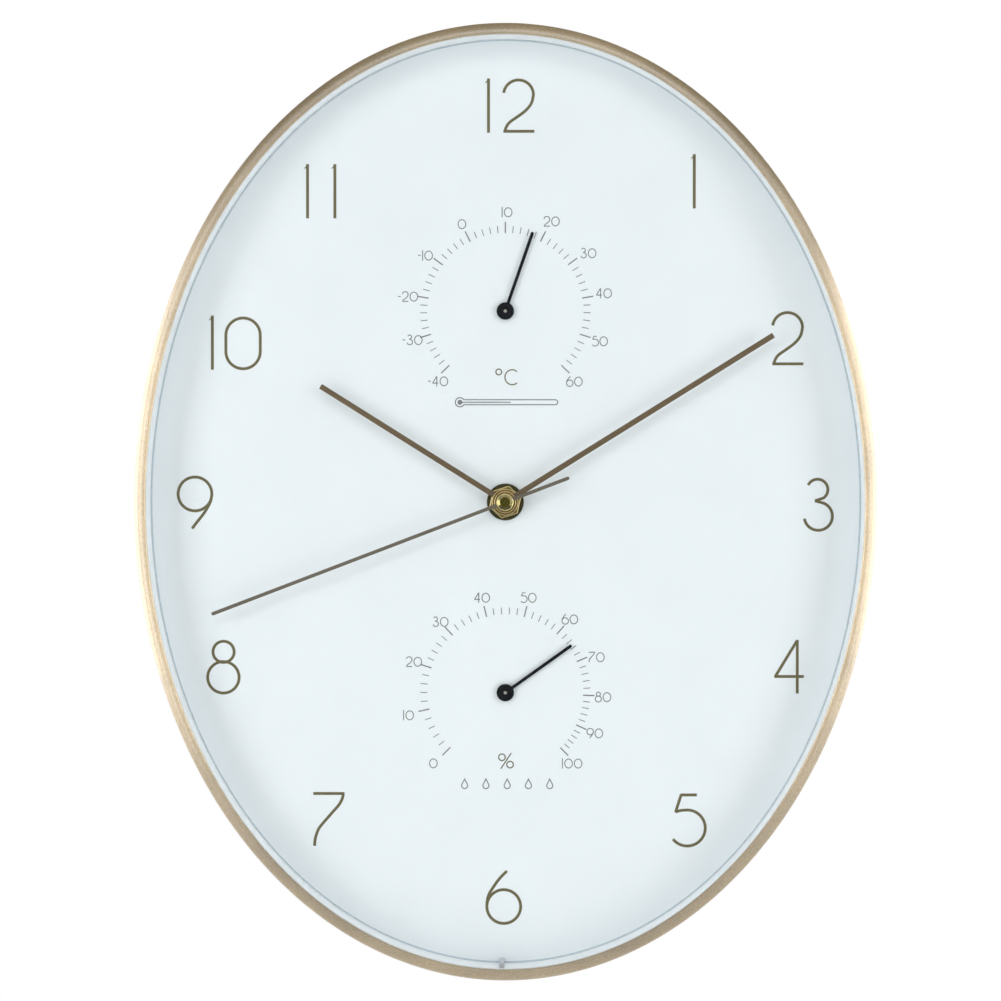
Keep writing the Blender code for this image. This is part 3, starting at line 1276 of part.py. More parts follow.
def make_finishes():
    """The clock's materials."""
    return {
        "champagne": Finish("champagne_aluminium", (0.78, 0.70, 0.56), 0.30, 1.0),
        "glass": Finish("mineral_glass", (0.95, 0.97, 0.97), 0.02, 0.0, 0.2),
        "white": Finish("white_plastic", (0.85, 0.87, 0.88), 0.45),
        "dial": Finish("satin_dial", (0.80, 0.83, 0.85), 0.40, 0.4),
        "moulding": Finish("black_moulding", (0.03, 0.03, 0.03), 0.55),
        "movement_plastic": Finish("movement_plastic", (0.05, 0.05, 0.055), 0.5),
        "acetal": Finish("acetal", (0.82, 0.80, 0.74), 0.4),
        "brass": Finish("brass", (0.70, 0.52, 0.22), 0.3, 1.0),
        "polished_brass": Finish("polished_brass", (0.78, 0.62, 0.32), 0.12, 1.0),
        "bronze": Finish("bronze_lacquer", (0.16, 0.12, 0.08), 0.4, 0.5),
        "black": Finish("black_lacquer", (0.01, 0.01, 0.012), 0.4),
        "steel": Finish("zinc_steel", (0.60, 0.61, 0.62), 0.35, 1.0),
        "spring_steel": Finish("spring_steel", (0.38, 0.39, 0.42), 0.35, 1.0),
        "dark_steel": Finish("dark_steel", (0.05, 0.05, 0.045), 0.4, 0.8),
        "silicon_steel": Finish("silicon_steel", (0.45, 0.46, 0.48), 0.4, 1.0),
        "nickel": Finish("nickel", (0.68, 0.67, 0.63), 0.25, 1.0),
        "zinc": Finish("zinc_strip", (0.62, 0.64, 0.66), 0.38, 1.0),
        "rubber": Finish("black_rubber", (0.02, 0.02, 0.02), 0.8),
        "magnet": Finish("rotor_magnet", (0.22, 0.22, 0.24), 0.4, 0.6),
        "copper": Finish("copper_winding", (0.72, 0.32, 0.14), 0.35, 1.0),
        "board": Finish("circuit_board", (0.03, 0.18, 0.07), 0.5),
        "battery": Finish("battery_sleeve", (0.06, 0.10, 0.24), 0.35),
        "thermometer_strip": Finish("bimetal_strip", (0.66, 0.55, 0.36), 0.35, 1.0),
        "hygrometer_strip": Finish("humidity_strip", (0.70, 0.60, 0.42), 0.45, 0.6),
    }


def main():
    """Build the clock."""
    clock = start()
    finishes = make_finishes()
    places = {
        "hour": (CENTRE, HOUR_HAND_TURN),
        "minute": (CENTRE, MINUTE_HAND_TURN),
        "second": (CENTRE, SECOND_HAND_TURN),
        "hour_wheel": (CENTRE, 0.0),
        "minute_pipe": (CENTRE, 0.0),
        "second_wheel": (CENTRE, 0.0),
        "centre": (CENTRE, 0.0),
        "intermediate": (INTERMEDIATE_PLACE, 0.0),
        "rotor": (ROTOR_PLACE, 0.0),
        "third": (THIRD_PLACE, 0.0),
        "reversing": (REVERSING_PLACE, 0.0),
    }
    axes = {
        name: pivot(f"{name}_axis", (*place, 0.0), clock, (0.0, 0.0, -turn))
        for name, (place, turn) in places.items()
    }
    make_case(clock, finishes)
    make_back_plate(clock, finishes)
    make_clips(clock, finishes)
    make_hanger(clock, finishes)
    make_stack(clock, finishes)
    make_hands(axes, finishes)
    make_movement_case(clock, finishes)
    make_battery(clock, finishes)
    make_circuit(clock, finishes)
    make_motor(clock, finishes)
    make_running_train(axes, finishes)
    make_motion_work(axes, finishes)
    make_gauge("thermometer", 1, THERMOMETER_TURN, POINTER_LENGTH_THERMOMETER, clock, finishes)
    make_gauge("hygrometer", -1, HYGROMETER_TURN, POINTER_LENGTH_HYGROMETER, clock, finishes)


main()
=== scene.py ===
"""Looks of an oval wall clock with a thermometer and a hygrometer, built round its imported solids.

Each piece is drawn in the clock's own frame, in millimetres: x to the right, y up and z from
the wall towards the viewer, with the hands' axis at x = y = 0. Form.place() turns that into
the row frame, in metres.
"""

import logging
import math
from collections.abc import Iterable, Sequence
from dataclasses import dataclass, field
from enum import Enum

import bmesh
import bpy
from mathutils import Matrix, Vector
from mathutils.geometry import delaunay_2d_cdt


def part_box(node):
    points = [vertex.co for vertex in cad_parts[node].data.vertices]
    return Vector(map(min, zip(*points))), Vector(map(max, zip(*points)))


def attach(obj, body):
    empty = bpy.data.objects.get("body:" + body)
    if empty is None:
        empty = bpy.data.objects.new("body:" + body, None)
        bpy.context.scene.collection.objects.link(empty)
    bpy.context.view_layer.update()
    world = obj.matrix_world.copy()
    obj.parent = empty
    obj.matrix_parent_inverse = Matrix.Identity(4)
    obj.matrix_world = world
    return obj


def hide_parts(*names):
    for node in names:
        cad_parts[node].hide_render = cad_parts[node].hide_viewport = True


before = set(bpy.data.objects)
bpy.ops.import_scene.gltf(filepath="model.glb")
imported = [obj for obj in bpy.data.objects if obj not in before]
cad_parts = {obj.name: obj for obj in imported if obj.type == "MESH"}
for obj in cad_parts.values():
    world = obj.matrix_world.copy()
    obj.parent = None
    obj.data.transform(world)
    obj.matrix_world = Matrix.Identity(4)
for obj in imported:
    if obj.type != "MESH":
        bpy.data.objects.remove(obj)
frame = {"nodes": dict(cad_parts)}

LOG = logging.getLogger("clock")
MM = 0.001
WELD = 1e-7
OVERLAP = 1e-5
SHARP = math.radians(32.0)
OVAL_STEPS = 288
ROUND_STEPS = 72
TIP_STEPS = 24
AXIS_HEIGHT = sum(corner.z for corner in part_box("dial_washer")) / 2
WHITE = (1.0, 1.0, 1.0, 1.0)

Point = tuple[float, float]
Point3 = tuple[float, float, float]
Colour = tuple[float, float, float]
Patches = list[list[Point]]


class Body(Enum):
    """Bodies that the new pieces ride on."""

    CASE = "case"
    HOURS = "hours"
    MINUTES = "minutes"
    SECONDS = "seconds"
    THERMOMETER = "thermometer"
    HYGROMETER = "hygrometer"


class Grain(Enum):
    """Ways a surface can be brushed."""

    ACROSS = "across"
    ALONG = "along"
    ROUND = "round"


def polar(radius: float, angle: float, middle: Point = (0.0, 0.0)) -> Point:
    """Point at a distance and an angle from the middle.

    Args:
        radius: distance in millimetres.
        angle: angle in radians, anticlockwise from the right.
        middle: point that it is measured from.

    Returns:
        The point's x and y.
    """
    return middle[0] + radius * math.cos(angle), middle[1] + radius * math.sin(angle)


def arc(middle: Point, radius: float, start: float, end: float, steps: int) -> list[Point]:
    """Points along an arc, both ends included.

    Args:
        middle: centre of the arc.
        radius: its radius in millimetres.
        start: first angle in degrees, anticlockwise from the right.
        end: last angle in degrees.
        steps: number of straight stretches.

    Returns:
        The points in order.
    """
    turns = (math.radians(start + (end - start) * step / steps) for step in range(steps + 1))
    return [polar(radius, turn, middle) for turn in turns]


def circle(radius: float, middle: Point = (0.0, 0.0), steps: int = ROUND_STEPS) -> list[Point]:
    """Points of a full circle, the first not repeated."""
    return arc(middle, radius, 0.0, 360.0, steps)[:-1]


def flowing(points: Sequence[Point], steps: int = 4) -> list[Point]:
    """Smooth line through a few points.

    Args:
        points: places that the line passes.
        steps: number of straight stretches between two places.

    Returns:
        Points of a Catmull-Rom curve through the places.
    """
    spots = [Vector(point) for point in (points[0], *points, points[-1])]
    line = []
    for before, first, second, after in zip(spots, spots[1:], spots[2:], spots[3:]):
        for step in range(steps):
            t = step / steps
            spot = 2 * first + (second - before) * t
            spot += (2 * before - 5 * first + 4 * second - after) * t * t
            spot += (3 * first - before - 3 * second + after) * t * t * t
            line.append(tuple(spot / 2))
    return [*line, tuple(points[-1])]


def sleeve(inner: float, outer: float, low: float, high: float) -> list[Point]:
    """Section of a plain sleeve, by its bore, its outer radius and its two ends."""
    return [(inner, low), (outer, low), (outer, high), (inner, high)]


def strip(half: float, low: float, high: float) -> list[Point]:
    """Upright bar round x = 0, by half its width and the heights of its ends."""
    return [(-half, low), (half, low), (half, high), (-half, high)]


def rounding(right: float, top: float, radius: float) -> list[Point]:
    """Quarter round that ends a section's front at its right-hand corner.

    Args:
        right: x of the side that it runs into.
        top: height of the front that it starts from.
        radius: its radius in millimetres.

    Returns:
        Four points, from the front to the side.
    """
    turns = (math.radians(angle) for angle in (0.0, 30.0, 60.0, 90.0))
    return [(right - radius * (1 - math.sin(turn)), top - radius * (1 - math.cos(turn)))
            for turn in turns]


def ribbon(line: Sequence[Point], width: float, closed: bool = False) -> Patches:
    """Four-cornered patches of a pen stroke of one width.

    Args:
        line: points along the stroke's middle.
        width: width of the stroke in millimetres.
        closed: whether the last point joins the first.

    Returns:
        One patch for each stretch between two points.
    """
    sharpest = 0.45
    spots = [Vector(point) for point in line]
    count = len(spots)
    left, right = [], []
    for index, spot in enumerate(spots):
        before = spots[index - 1] if closed or index else None
        after = spots[(index + 1) % count] if closed or index + 1 < count else None
        ends = [(before, spot), (spot, after)]
        ways = [(b - a).normalized() for a, b in ends if a is not None and b is not None]
        way = sum(ways, Vector((0.0, 0.0))).normalized()
        reach = width / 2 / max(sharpest, way.dot(ways[0]))
        side = Vector((-way.y, way.x)) * reach
        left.append(tuple(spot + side))
        right.append(tuple(spot - side))
    return [[left[i], right[i], right[(i + 1) % count], left[(i + 1) % count]]
            for i in range(count if closed else count - 1)]


@dataclass
class Form:
    """A closed mesh in the making, in the clock's frame and in millimetres."""

    corners: list[Point3] = field(default_factory=list)
    faces: list[tuple[int, ...]] = field(default_factory=list)
    charts: list[list[Point]] = field(default_factory=list)

    def flat(self, patches: Iterable[Sequence[Point]], low: float, high: float) -> "Form":
        """Add a plate whose outline is all that the patches cover.

        Args:
            patches: flat outlines, which may overlap.
            low: height of the plate's back.
            high: height of its front.

        Returns:
            The form itself.
        """
        spots, loops = [], []
        for patch in patches:
            loops.append(list(range(len(spots), len(spots) + len(patch))))
            spots.extend(Vector(point) for point in patch)
        found = delaunay_2d_cdt(spots, [], loops, 0, OVERLAP)
        points, kept = found[0], [face for face, origin in zip(found[2], found[5]) if origin]
        edges = {(a, b) for face in kept for a, b in zip(face, [*face[1:], face[0]])}
        first, count = len(self.corners), len(points)
        self.corners += [(point[0], point[1], height) for height in (low, high) for point in points]
        for face in kept:
            self.faces.append(tuple(first + i for i in reversed(face)))
            self.faces.append(tuple(first + count + i for i in face))
        for a, b in sorted(edges):
            if (b, a) not in edges:
                self.faces.append((first + a, first + b, first + count + b, first + count + a))
        return self

    def swept(self, rings: Sequence[Sequence[Point3]], ends: bool = False) -> "Form":
        """Add a skin over rings of points, closed round each ring.

        Args:
            rings: rings with equally many points. Unless ends is true, the last joins the first.
            ends: whether the first and last ring are filled instead.

        Returns:
            The form itself.
        """
        first, size, count = len(self.corners), len(rings[0]), len(rings)
        self.corners += [point for ring in rings for point in ring]
        for row in range(count - 1 if ends else count):
            here, there = first + row * size, first + (row + 1) % count * size
            for i in range(size):
                j = (i + 1) % size
                self.faces.append((here + i, here + j, there + j, there + i))
        if ends:
            self.faces.append(tuple(range(first, first + size)))
            last = first + (count - 1) * size
            self.faces.append(tuple(reversed(range(last, last + size))))
        return self

    def turned(self, profile: Sequence[Point], middle: Point = (0.0, 0.0),
               lying: bool = False) -> "Form":
        """Add a body turned round an axis.

        Args:
            profile: radius and place along the axis of each point of its closed section.
            middle: x and y of the axis, or its y and z where it lies.
            lying: whether the axis runs to the right instead of towards the viewer.

        Returns:
            The form itself.
        """
        rings = []
        for step in range(ROUND_STEPS):
            turn = math.tau * step / ROUND_STEPS
            ring = [(*polar(radius, turn, middle), along) for radius, along in profile]
            rings.append([(along, a, b) for a, b, along in ring] if lying else ring)
        return self.swept(rings)

    def wound(self, ends: Point, middle: Point, radius: float, wire: float) -> "Form":
        """Add a wire wound close round an axis that runs to the right.

        Args:
            ends: x where the winding starts and ends.
            middle: y and z of the axis.
            radius: outer radius of the winding.
            wire: diameter of the wire.

        Returns:
            The form itself.
        """
        touching = 0.52
        left, right = ends[0] + wire / 2, ends[1] - wire / 2
        steps = round((right - left) / wire * TIP_STEPS)
        thick = wire * touching
        rings = []
        for step in range(steps + 1):
            turn, along = math.tau * step / TIP_STEPS, left + (right - left) * step / steps
            section = circle(thick, (radius - thick, along), 8)
            rings.append([(run, *polar(reach, turn, middle)) for reach, run in section])
        return self.swept(rings, ends=True)

    def spun(self, angle: float) -> "Form":
        """Turn all of it clockwise round the hands' axis.

        Args:
            angle: angle in radians.

        Returns:
            The form itself.
        """
        turn = Matrix.Rotation(-angle, 3, "Z")
        self.corners = [tuple(turn @ Vector(corner)) for corner in self.corners]
        return self

    def moved(self, right: float = 0.0, up: float = 0.0) -> "Form":
        """Shift all of it."""
        self.corners = [(x + right, y + up, z) for x, y, z in self.corners]
        return self

    def place(self, name: str) -> bpy.types.Object:
        """Make the piece's object in the row frame.

        Args:
            name: name of the piece.

        Returns:
            The new object, with its faces turned outward.
        """
        mesh = bpy.data.meshes.new(name)
        spots = [(x * MM, -z * MM, y * MM + AXIS_HEIGHT) for x, y, z in self.corners]
        mesh.from_pydata(spots, [], self.faces)
        if self.charts:
            layer = mesh.uv_layers.new(name="run")
            flat = [spot for chart in self.charts for spot in chart]
            layer.data.foreach_set("uv", [number for spot in flat for number in spot])
        work = bmesh.new()
        work.from_mesh(mesh)
        bmesh.ops.remove_doubles(work, verts=work.verts, dist=WELD)
        bmesh.ops.dissolve_degenerate(work, edges=work.edges, dist=WELD)
        bmesh.ops.recalc_face_normals(work, faces=work.faces)
        work.to_mesh(mesh)
        work.free()
        piece = bpy.data.objects.new(name, mesh)
        bpy.context.scene.collection.objects.link(piece)
        return piece


class Nodes:
    """A tree of nodes, with short calls that add nodes to it."""

    def __init__(self, owner: bpy.types.ID) -> None:
        """Start on an empty tree.

        Args:
            owner: a new material or world, or a new node group.
        """
        self.owner = owner
        self.tree = owner
        if not isinstance(owner, bpy.types.NodeTree):
            owner.use_nodes = True
            self.tree = owner.node_tree
        self.tree.nodes.clear()

    def add(self, kind: str, settings: dict | None = None, *first: object,
            **inputs: object) -> bpy.types.Node:
        """Add a node.

        Args:
            kind: the node's type.
            settings: values of the node's own options.
            first: values or sockets for its first inputs, in order.
            inputs: the same for its inputs by name, with _ for a space.

        Returns:
            The new node.
        """
        node = self.tree.nodes.new(kind)
        for option, value in (settings or {}).items():
            setattr(node, option, value)
        given = list(zip(node.inputs, first))
        given += [(node.inputs[label.replace("_", " ")], value) for label, value in inputs.items()]
        for socket, value in given:
            if isinstance(value, bpy.types.NodeSocket):
                self.tree.links.new(value, socket)
            else:
                socket.default_value = value
        return node

    def place(self, stretch: Point3) -> bpy.types.NodeSocket:
        """Object coordinates times a stretch per metre."""
        return self.scaled(self.add("ShaderNodeTexCoord").outputs["Object"], stretch)

    def scaled(self, where: bpy.types.NodeSocket, stretch: Point3) -> bpy.types.NodeSocket:
        """Coordinates times a stretch."""
        return self.vector("MULTIPLY", where, stretch).outputs[0]

    def vector(self, operation: str, *first: object) -> bpy.types.Node:
        """Node that works out a vector from one or two others."""
        return self.add("ShaderNodeVectorMath", {"operation": operation}, *first)

    def noise(self, where: bpy.types.NodeSocket, detail: float = 3.0,
              roughness: float = 0.6) -> bpy.types.NodeSocket:
        """Noise of one unit's size at those coordinates."""
        node = self.add("ShaderNodeTexNoise", {"noise_dimensions": "3D"}, Vector=where, Scale=1.0,
                        Detail=detail, Roughness=roughness)
        return node.outputs["Fac"]

    def ranged(self, value: bpy.types.NodeSocket, low: float, high: float,
               source: Point = (0.3, 0.7)) -> bpy.types.NodeSocket:
        """Value moved from its source range to low and high, and held there."""
        node = self.add("ShaderNodeMapRange", {"clamp": True}, Value=value, From_Min=source[0],
                        From_Max=source[1], To_Min=low, To_Max=high)
        return node.outputs["Result"]

    def blended(self, share: bpy.types.NodeSocket, first: Colour,
                second: Colour) -> bpy.types.NodeSocket:
        """Colour between two.

        Args:
            share: number from 0, for the first, to 1, for the second.
            first: one colour.
            second: the other.

        Returns:
            The colour's output.
        """
        node = self.add("ShaderNodeMix", {"data_type": "RGBA"}, share)
        node.inputs[6].default_value = (*first, 1.0)
        node.inputs[7].default_value = (*second, 1.0)
        return node.outputs[2]

    def toned(self, share: bpy.types.NodeSocket, colour: Colour,
              spread: float) -> bpy.types.NodeSocket:
        """Colour that a share makes darker or lighter.

        Args:
            share: number from 0, dark, to 1, light.
            colour: the colour between the two.
            spread: how much darker and lighter, as a share of the colour.

        Returns:
            The colour's output.
        """
        dark, light = (tuple(min(1.0, part * level) for part in colour)
                       for level in (1 - spread, 1 + spread))
        return self.blended(self.ranged(share, 0.0, 1.0), dark, light)

    def bump(self, height: bpy.types.NodeSocket, strength: float,
             depth: float) -> bpy.types.NodeSocket:
        """Normal bent by a height, of a depth in metres."""
        node = self.add("ShaderNodeBump", None, Height=height, Strength=strength, Distance=depth)
        return node.outputs["Normal"]

    def grown(self, grain: Grain, fineness: float, length: float) -> bpy.types.NodeSocket:
        """Brush marks.

        Args:
            grain: which way the marks run. Round ones run round the hands' axis.
            fineness: marks per metre across them.
            length: marks per metre along them.

        Returns:
            Their height, from 0 to 1.
        """
        if grain is Grain.ACROSS:
            return self.noise(self.place((length, fineness, fineness)))
        if grain is Grain.ALONG:
            run = self.add("ShaderNodeUVMap", {"uv_map": "run"}).outputs[0]
            return self.noise(self.scaled(run, (length, fineness, 1.0)))
        where = self.add("ShaderNodeTexCoord").outputs["Object"]
        offset = self.vector("SUBTRACT", where, (0.0, 0.0, AXIS_HEIGHT)).outputs[0]
        reach = self.vector("LENGTH", self.scaled(offset, (1.0, 0.0, 1.0)))
        join = self.add("ShaderNodeCombineXYZ", None, reach.outputs["Value"])
        return self.noise(self.scaled(join.outputs[0], (fineness, 1.0, 1.0)))

    def finish(self, shader: bpy.types.NodeSocket,
               kind: str = "ShaderNodeOutputMaterial") -> bpy.types.ID:
        """Join a shader to an output of that kind and hand the tree's owner over."""
        self.add(kind, None, Surface=shader)
        return self.owner


@dataclass(frozen=True)
class Finish:
    """A surface that is dressed onto pieces. Each kind makes its own material."""

    name: str
    slot: str
    colour: Colour

    def shader(self, nodes: Nodes) -> bpy.types.NodeSocket:
        """Add the nodes of its shader to a tree."""
        raise NotImplementedError

    def material(self) -> bpy.types.Material:
        """Find the finish's material, or build it when it is first asked for.

        Returns:
            The material.
        """
        found = bpy.data.materials.get(self.name)
        if found:
            return found
        nodes = Nodes(bpy.data.materials.new(self.name))
        return nodes.finish(self.shader(nodes))


@dataclass(frozen=True)
class Metal(Finish):
    """Bare, brushed or turned metal."""

    roughness: float = 0.35
    grain: Grain = Grain.ACROSS
    fineness: float = 9000.0
    length: float = 90.0
    streaks: float = 0.12
    depth: float = 0.00001
    drawn: float = 0.0
    metallic: float = 1.0
    coat: float = 0.0
    coat_roughness: float = 0.3
    coat_index: float = 1.5
    cloud: float = 35.0
    cloud_share: float = 0.2
    gloss_spread: float = 0.12
    strength: float = 0.5

    def shader(self, nodes: Nodes) -> bpy.types.NodeSocket:
        """Principled metal whose colour, gloss and surface follow its brush marks.

        Args:
            nodes: the tree that its nodes join.

        Returns:
            The shader's output.
        """
        marks = nodes.grown(self.grain, self.fineness, self.length)
        clouds = nodes.noise(nodes.place((self.cloud,) * 3), 4.0)
        share = nodes.add("ShaderNodeMath", {"operation": "MULTIPLY_ADD"}, marks,
                          1 - self.cloud_share,
                          nodes.ranged(clouds, 0.0, self.cloud_share)).outputs[0]
        rough = nodes.ranged(share, self.roughness * (1 + self.gloss_spread),
                             self.roughness * (1 - self.gloss_spread))
        metal = nodes.add("ShaderNodeBsdfPrincipled", None,
                          Base_Color=nodes.toned(share, self.colour, self.streaks),
                          Metallic=self.metallic, Roughness=rough, Coat_Weight=self.coat,
                          Coat_Roughness=self.coat_roughness, Coat_IOR=self.coat_index,
                          Normal=nodes.bump(marks, self.strength, self.depth))
        if self.drawn:
            way = nodes.add("ShaderNodeTangent", {"direction_type": "UV_MAP", "uv_map": "run"})
            metal.inputs["Anisotropic"].default_value = self.drawn
            metal.inputs["Anisotropic Rotation"].default_value = 0.25
            nodes.tree.links.new(way.outputs[0], metal.inputs["Tangent"])
        return metal.outputs[0]


@dataclass(frozen=True)
class Moulded(Finish):
    """Moulded plastic or rubber with a fine spark-eroded texture."""

    roughness: float = 0.45
    texture: float = 2600.0
    depth: float = 0.00004
    tone: float = 0.06
    specular: float = 0.5
    soft: float = 0.0
    cloud: float = 22.0
    gloss_spread: float = 0.15
    strength: float = 0.35

    def shader(self, nodes: Nodes) -> bpy.types.NodeSocket:
        """Principled plastic with a grained surface and slow changes of tone.

        Args:
            nodes: the tree that its nodes join.

        Returns:
            The shader's output.
        """
        grain = nodes.noise(nodes.place((self.texture,) * 3), 2.0, 0.5)
        clouds = nodes.noise(nodes.place((self.cloud,) * 3), 4.0)
        rough = nodes.ranged(grain, self.roughness * (1 - self.gloss_spread),
                             min(1.0, self.roughness * (1 + self.gloss_spread)))
        return nodes.add("ShaderNodeBsdfPrincipled", None, Roughness=rough,
                         Base_Color=nodes.toned(clouds, self.colour, self.tone),
                         Specular_IOR_Level=self.specular, Sheen_Weight=self.soft,
                         Normal=nodes.bump(grain, self.strength, self.depth)).outputs[0]


@dataclass(frozen=True)
class Ink(Finish):
    """Screen-printed ink, a little uneven where it lies on the brushed dial."""

    roughness: float = 0.5
    metallic: float = 0.25
    texture: Point3 = (500.0, 500.0, 3500.0)
    tone: float = 0.2
    gloss_spread: float = 0.1
    strength: float = 0.2
    depth: float = 0.00001

    def shader(self, nodes: Nodes) -> bpy.types.NodeSocket:
        """Principled ink with fine changes of tone along the dial's brushing.

        Args:
            nodes: the tree that its nodes join.

        Returns:
            The shader's output.
        """
        marks = nodes.noise(nodes.place(self.texture))
        rough = nodes.ranged(marks, self.roughness * (1 - self.gloss_spread),
                             self.roughness * (1 + self.gloss_spread))
        return nodes.add("ShaderNodeBsdfPrincipled", None, Roughness=rough,
                         Base_Color=nodes.toned(marks, self.colour, self.tone),
                         Metallic=self.metallic,
                         Normal=nodes.bump(marks, self.strength, self.depth)).outputs[0]


@dataclass(frozen=True)
class Clear(Finish):
    """Clear mineral glass."""

    index: float = 1.12
    smears: float = 30.0

    def shader(self, nodes: Nodes) -> bpy.types.NodeSocket:
        """Glass that lets the light straight through and mirrors a little of the room.

        Args:
            nodes: the tree that its nodes join.

        Returns:
            The shader's output.
        """
        film = nodes.ranged(nodes.noise(nodes.place((self.smears,) * 3)), 0.01, 0.03)
        through = nodes.add("ShaderNodeBsdfTransparent", None, (*self.colour, 1.0))
        mirror = nodes.add("ShaderNodeBsdfGlossy", None, Color=WHITE, Roughness=film)
        bend = nodes.add("ShaderNodeFresnel", None, IOR=self.index)
        return nodes.add("ShaderNodeMixShader", None, bend.outputs[0], through.outputs[0],
                         mirror.outputs[0]).outputs[0]


CHAMPAGNE = Metal("champagne_brushed", "champagne_aluminium", (0.49, 0.385, 0.235), roughness=0.52,
                  grain=Grain.ALONG, fineness=2400.0, length=800.0, streaks=0.24,
                  depth=0.00003, drawn=1.0, coat=1.0, coat_index=1.9)
GLASS = Clear("clear_lens", "clear_glass", (0.985, 0.992, 0.99))
WHITE_RING = Moulded("white_ring", "white_plastic", (0.92, 0.945, 0.965), roughness=0.42, tone=0.02,
                     texture=1800.0, depth=0.00002)
# Painted shade: the white plastic lug gets a mid-grey copy of the ring's white. It stands in for
# the shade that the lug lies in.
LUG_SHADED_WHITE = Moulded("white_lug_painted_shade", "white_plastic", (0.50, 0.53, 0.56), roughness=0.35, tone=0.02,
                    texture=1800.0, depth=0.00002)
# Painted shadow: blue-grey ink for a thin line on the dial at the foot of the white ring's wall. It
# stands in for the shade in the gap between ring and dial.
FOOT_SHADOW_INK = Ink("painted_foot_shadow", "satin_dial", (0.56, 0.64, 0.70))
SATIN_DIAL = Metal("satin_dial_face", "satin_dial", (0.835, 0.875, 0.905), roughness=0.55,
                   grain=Grain.ACROSS, fineness=7000.0, length=110.0, streaks=0.022,
                   depth=0.000006, metallic=0.15)
NUMERAL_INK = Ink("olive_ink", "bronze_lacquer", (0.125, 0.105, 0.045))
SCALE_INK = Ink("grey_ink", "grey_bronze_lacquer", (0.17, 0.175, 0.17))
BLACK = Moulded("black_textured", "black_moulding", (0.022, 0.023, 0.025), roughness=0.5)
HOUSING = Moulded("housing_black", "movement_plastic", (0.035, 0.036, 0.038), roughness=0.38,
                  texture=3800.0, depth=0.00002)
BRONZE = Metal("bronze_satin", "bronze_lacquer", (0.115, 0.080, 0.042), roughness=0.45,
               fineness=12000.0, length=700.0, streaks=0.10, metallic=0.6)
GREY_BRONZE = Metal("grey_bronze_satin", "grey_bronze_lacquer", (0.125, 0.105, 0.078),
                    roughness=0.45, fineness=12000.0, length=700.0, streaks=0.10, metallic=0.5)
# Painted highlight: a light brass colour for the rounded edges of the nut and the collets. It
# stands in for the light that those edges catch.
BRONZE_PAINTED_HIGHLIGHT = Metal("bronze_edge_painted_highlight", "bronze_lacquer", (0.52, 0.41, 0.20), roughness=0.3,
                    fineness=12000.0, length=900.0)
DISH = Metal("bronze_dish", "bronze_lacquer", (0.28, 0.235, 0.10), roughness=0.13,
             grain=Grain.ROUND, fineness=9000.0, streaks=0.1)
BLACK_LACQUER = Moulded("black_satin_lacquer", "black_lacquer", (0.006, 0.007, 0.009),
                        roughness=0.65, texture=5000.0, depth=0.00001, specular=0.06)
BRASS = Metal("brass_turned", "brass", (0.55, 0.42, 0.19), roughness=0.28, grain=Grain.ROUND,
              fineness=16000.0, streaks=0.15)
NUT_BRASS = Metal("brass_nut", "brass", (0.13, 0.09, 0.026), roughness=0.3, grain=Grain.ROUND,
                  fineness=2600.0, streaks=0.4)
COLLET = Metal("bronze_turned", "bronze_lacquer", (0.115, 0.073, 0.022), roughness=0.3,
               grain=Grain.ROUND, fineness=5200.0, streaks=0.45)
POLISHED = Metal("brass_polished", "polished_brass", (0.80, 0.68, 0.36), roughness=0.12,
                 grain=Grain.ROUND, fineness=9000.0, streaks=0.06)
# Painted shade: a near-black copy of the cap's brass for the floor of its dish. It stands in for
# the shade in that hollow.
DISH_SHADED_BRASS = Metal("brass_dish_painted_shade", "brass", (0.055, 0.048, 0.006), roughness=0.32,
                    grain=Grain.ROUND, fineness=11000.0, streaks=0.35)
DARK_STEEL = Metal("steel_olive", "dark_steel", (0.04, 0.036, 0.014), roughness=0.38,
                   grain=Grain.ROUND, fineness=9000.0, streaks=0.25)
ZINC = Metal("zinc_plated", "zinc_steel", (0.60, 0.61, 0.62), roughness=0.34, fineness=3000.0,
             length=800.0)
PIN_STEEL = Metal("pin_steel", "dark_steel", (0.40, 0.38, 0.34), roughness=0.35, fineness=9000.0,
                  length=900.0)
SPRING = Metal("spring_strip", "spring_steel", (0.52, 0.53, 0.55), roughness=0.28,
               fineness=9000.0, length=120.0)
RUBBER = Moulded("black_rubber_seal", "black_rubber", (0.018, 0.018, 0.019), roughness=0.8,
                 soft=0.2)
SLEEVE = Moulded("battery_wrap", "battery_sleeve", (0.05, 0.09, 0.16), roughness=0.25,
                 texture=600.0, depth=0.00001)
SLEEVE_BAND = Moulded("battery_wrap_band", "battery_sleeve", (0.42, 0.44, 0.46), roughness=0.25,
                      texture=600.0, depth=0.00001)
NICKEL = Metal("nickel_plated", "nickel", (0.64, 0.61, 0.55), roughness=0.22, fineness=9000.0)
BOARD = Moulded("board_mask", "circuit_board", (0.03, 0.17, 0.07), roughness=0.3, texture=900.0)
SILICON = Metal("silicon_sheet", "silicon_steel", (0.42, 0.42, 0.43), roughness=0.4)
COPPER = Metal("copper_wire", "copper_winding", (0.72, 0.30, 0.14), roughness=0.25,
               grain=Grain.ACROSS, fineness=2000.0, length=15000.0)
FERRITE = Moulded("ferrite_magnet", "rotor_magnet", (0.06, 0.06, 0.065), roughness=0.55)
ACETAL = Moulded("acetal_white", "acetal", (0.74, 0.72, 0.66), roughness=0.42, tone=0.03)
BIMETAL = Metal("bimetal_band", "bimetal_strip", (0.66, 0.55, 0.36), roughness=0.3)
HUMIDITY = Metal("humidity_band", "humidity_strip", (0.55, 0.50, 0.42), roughness=0.42,
                 metallic=0.6)


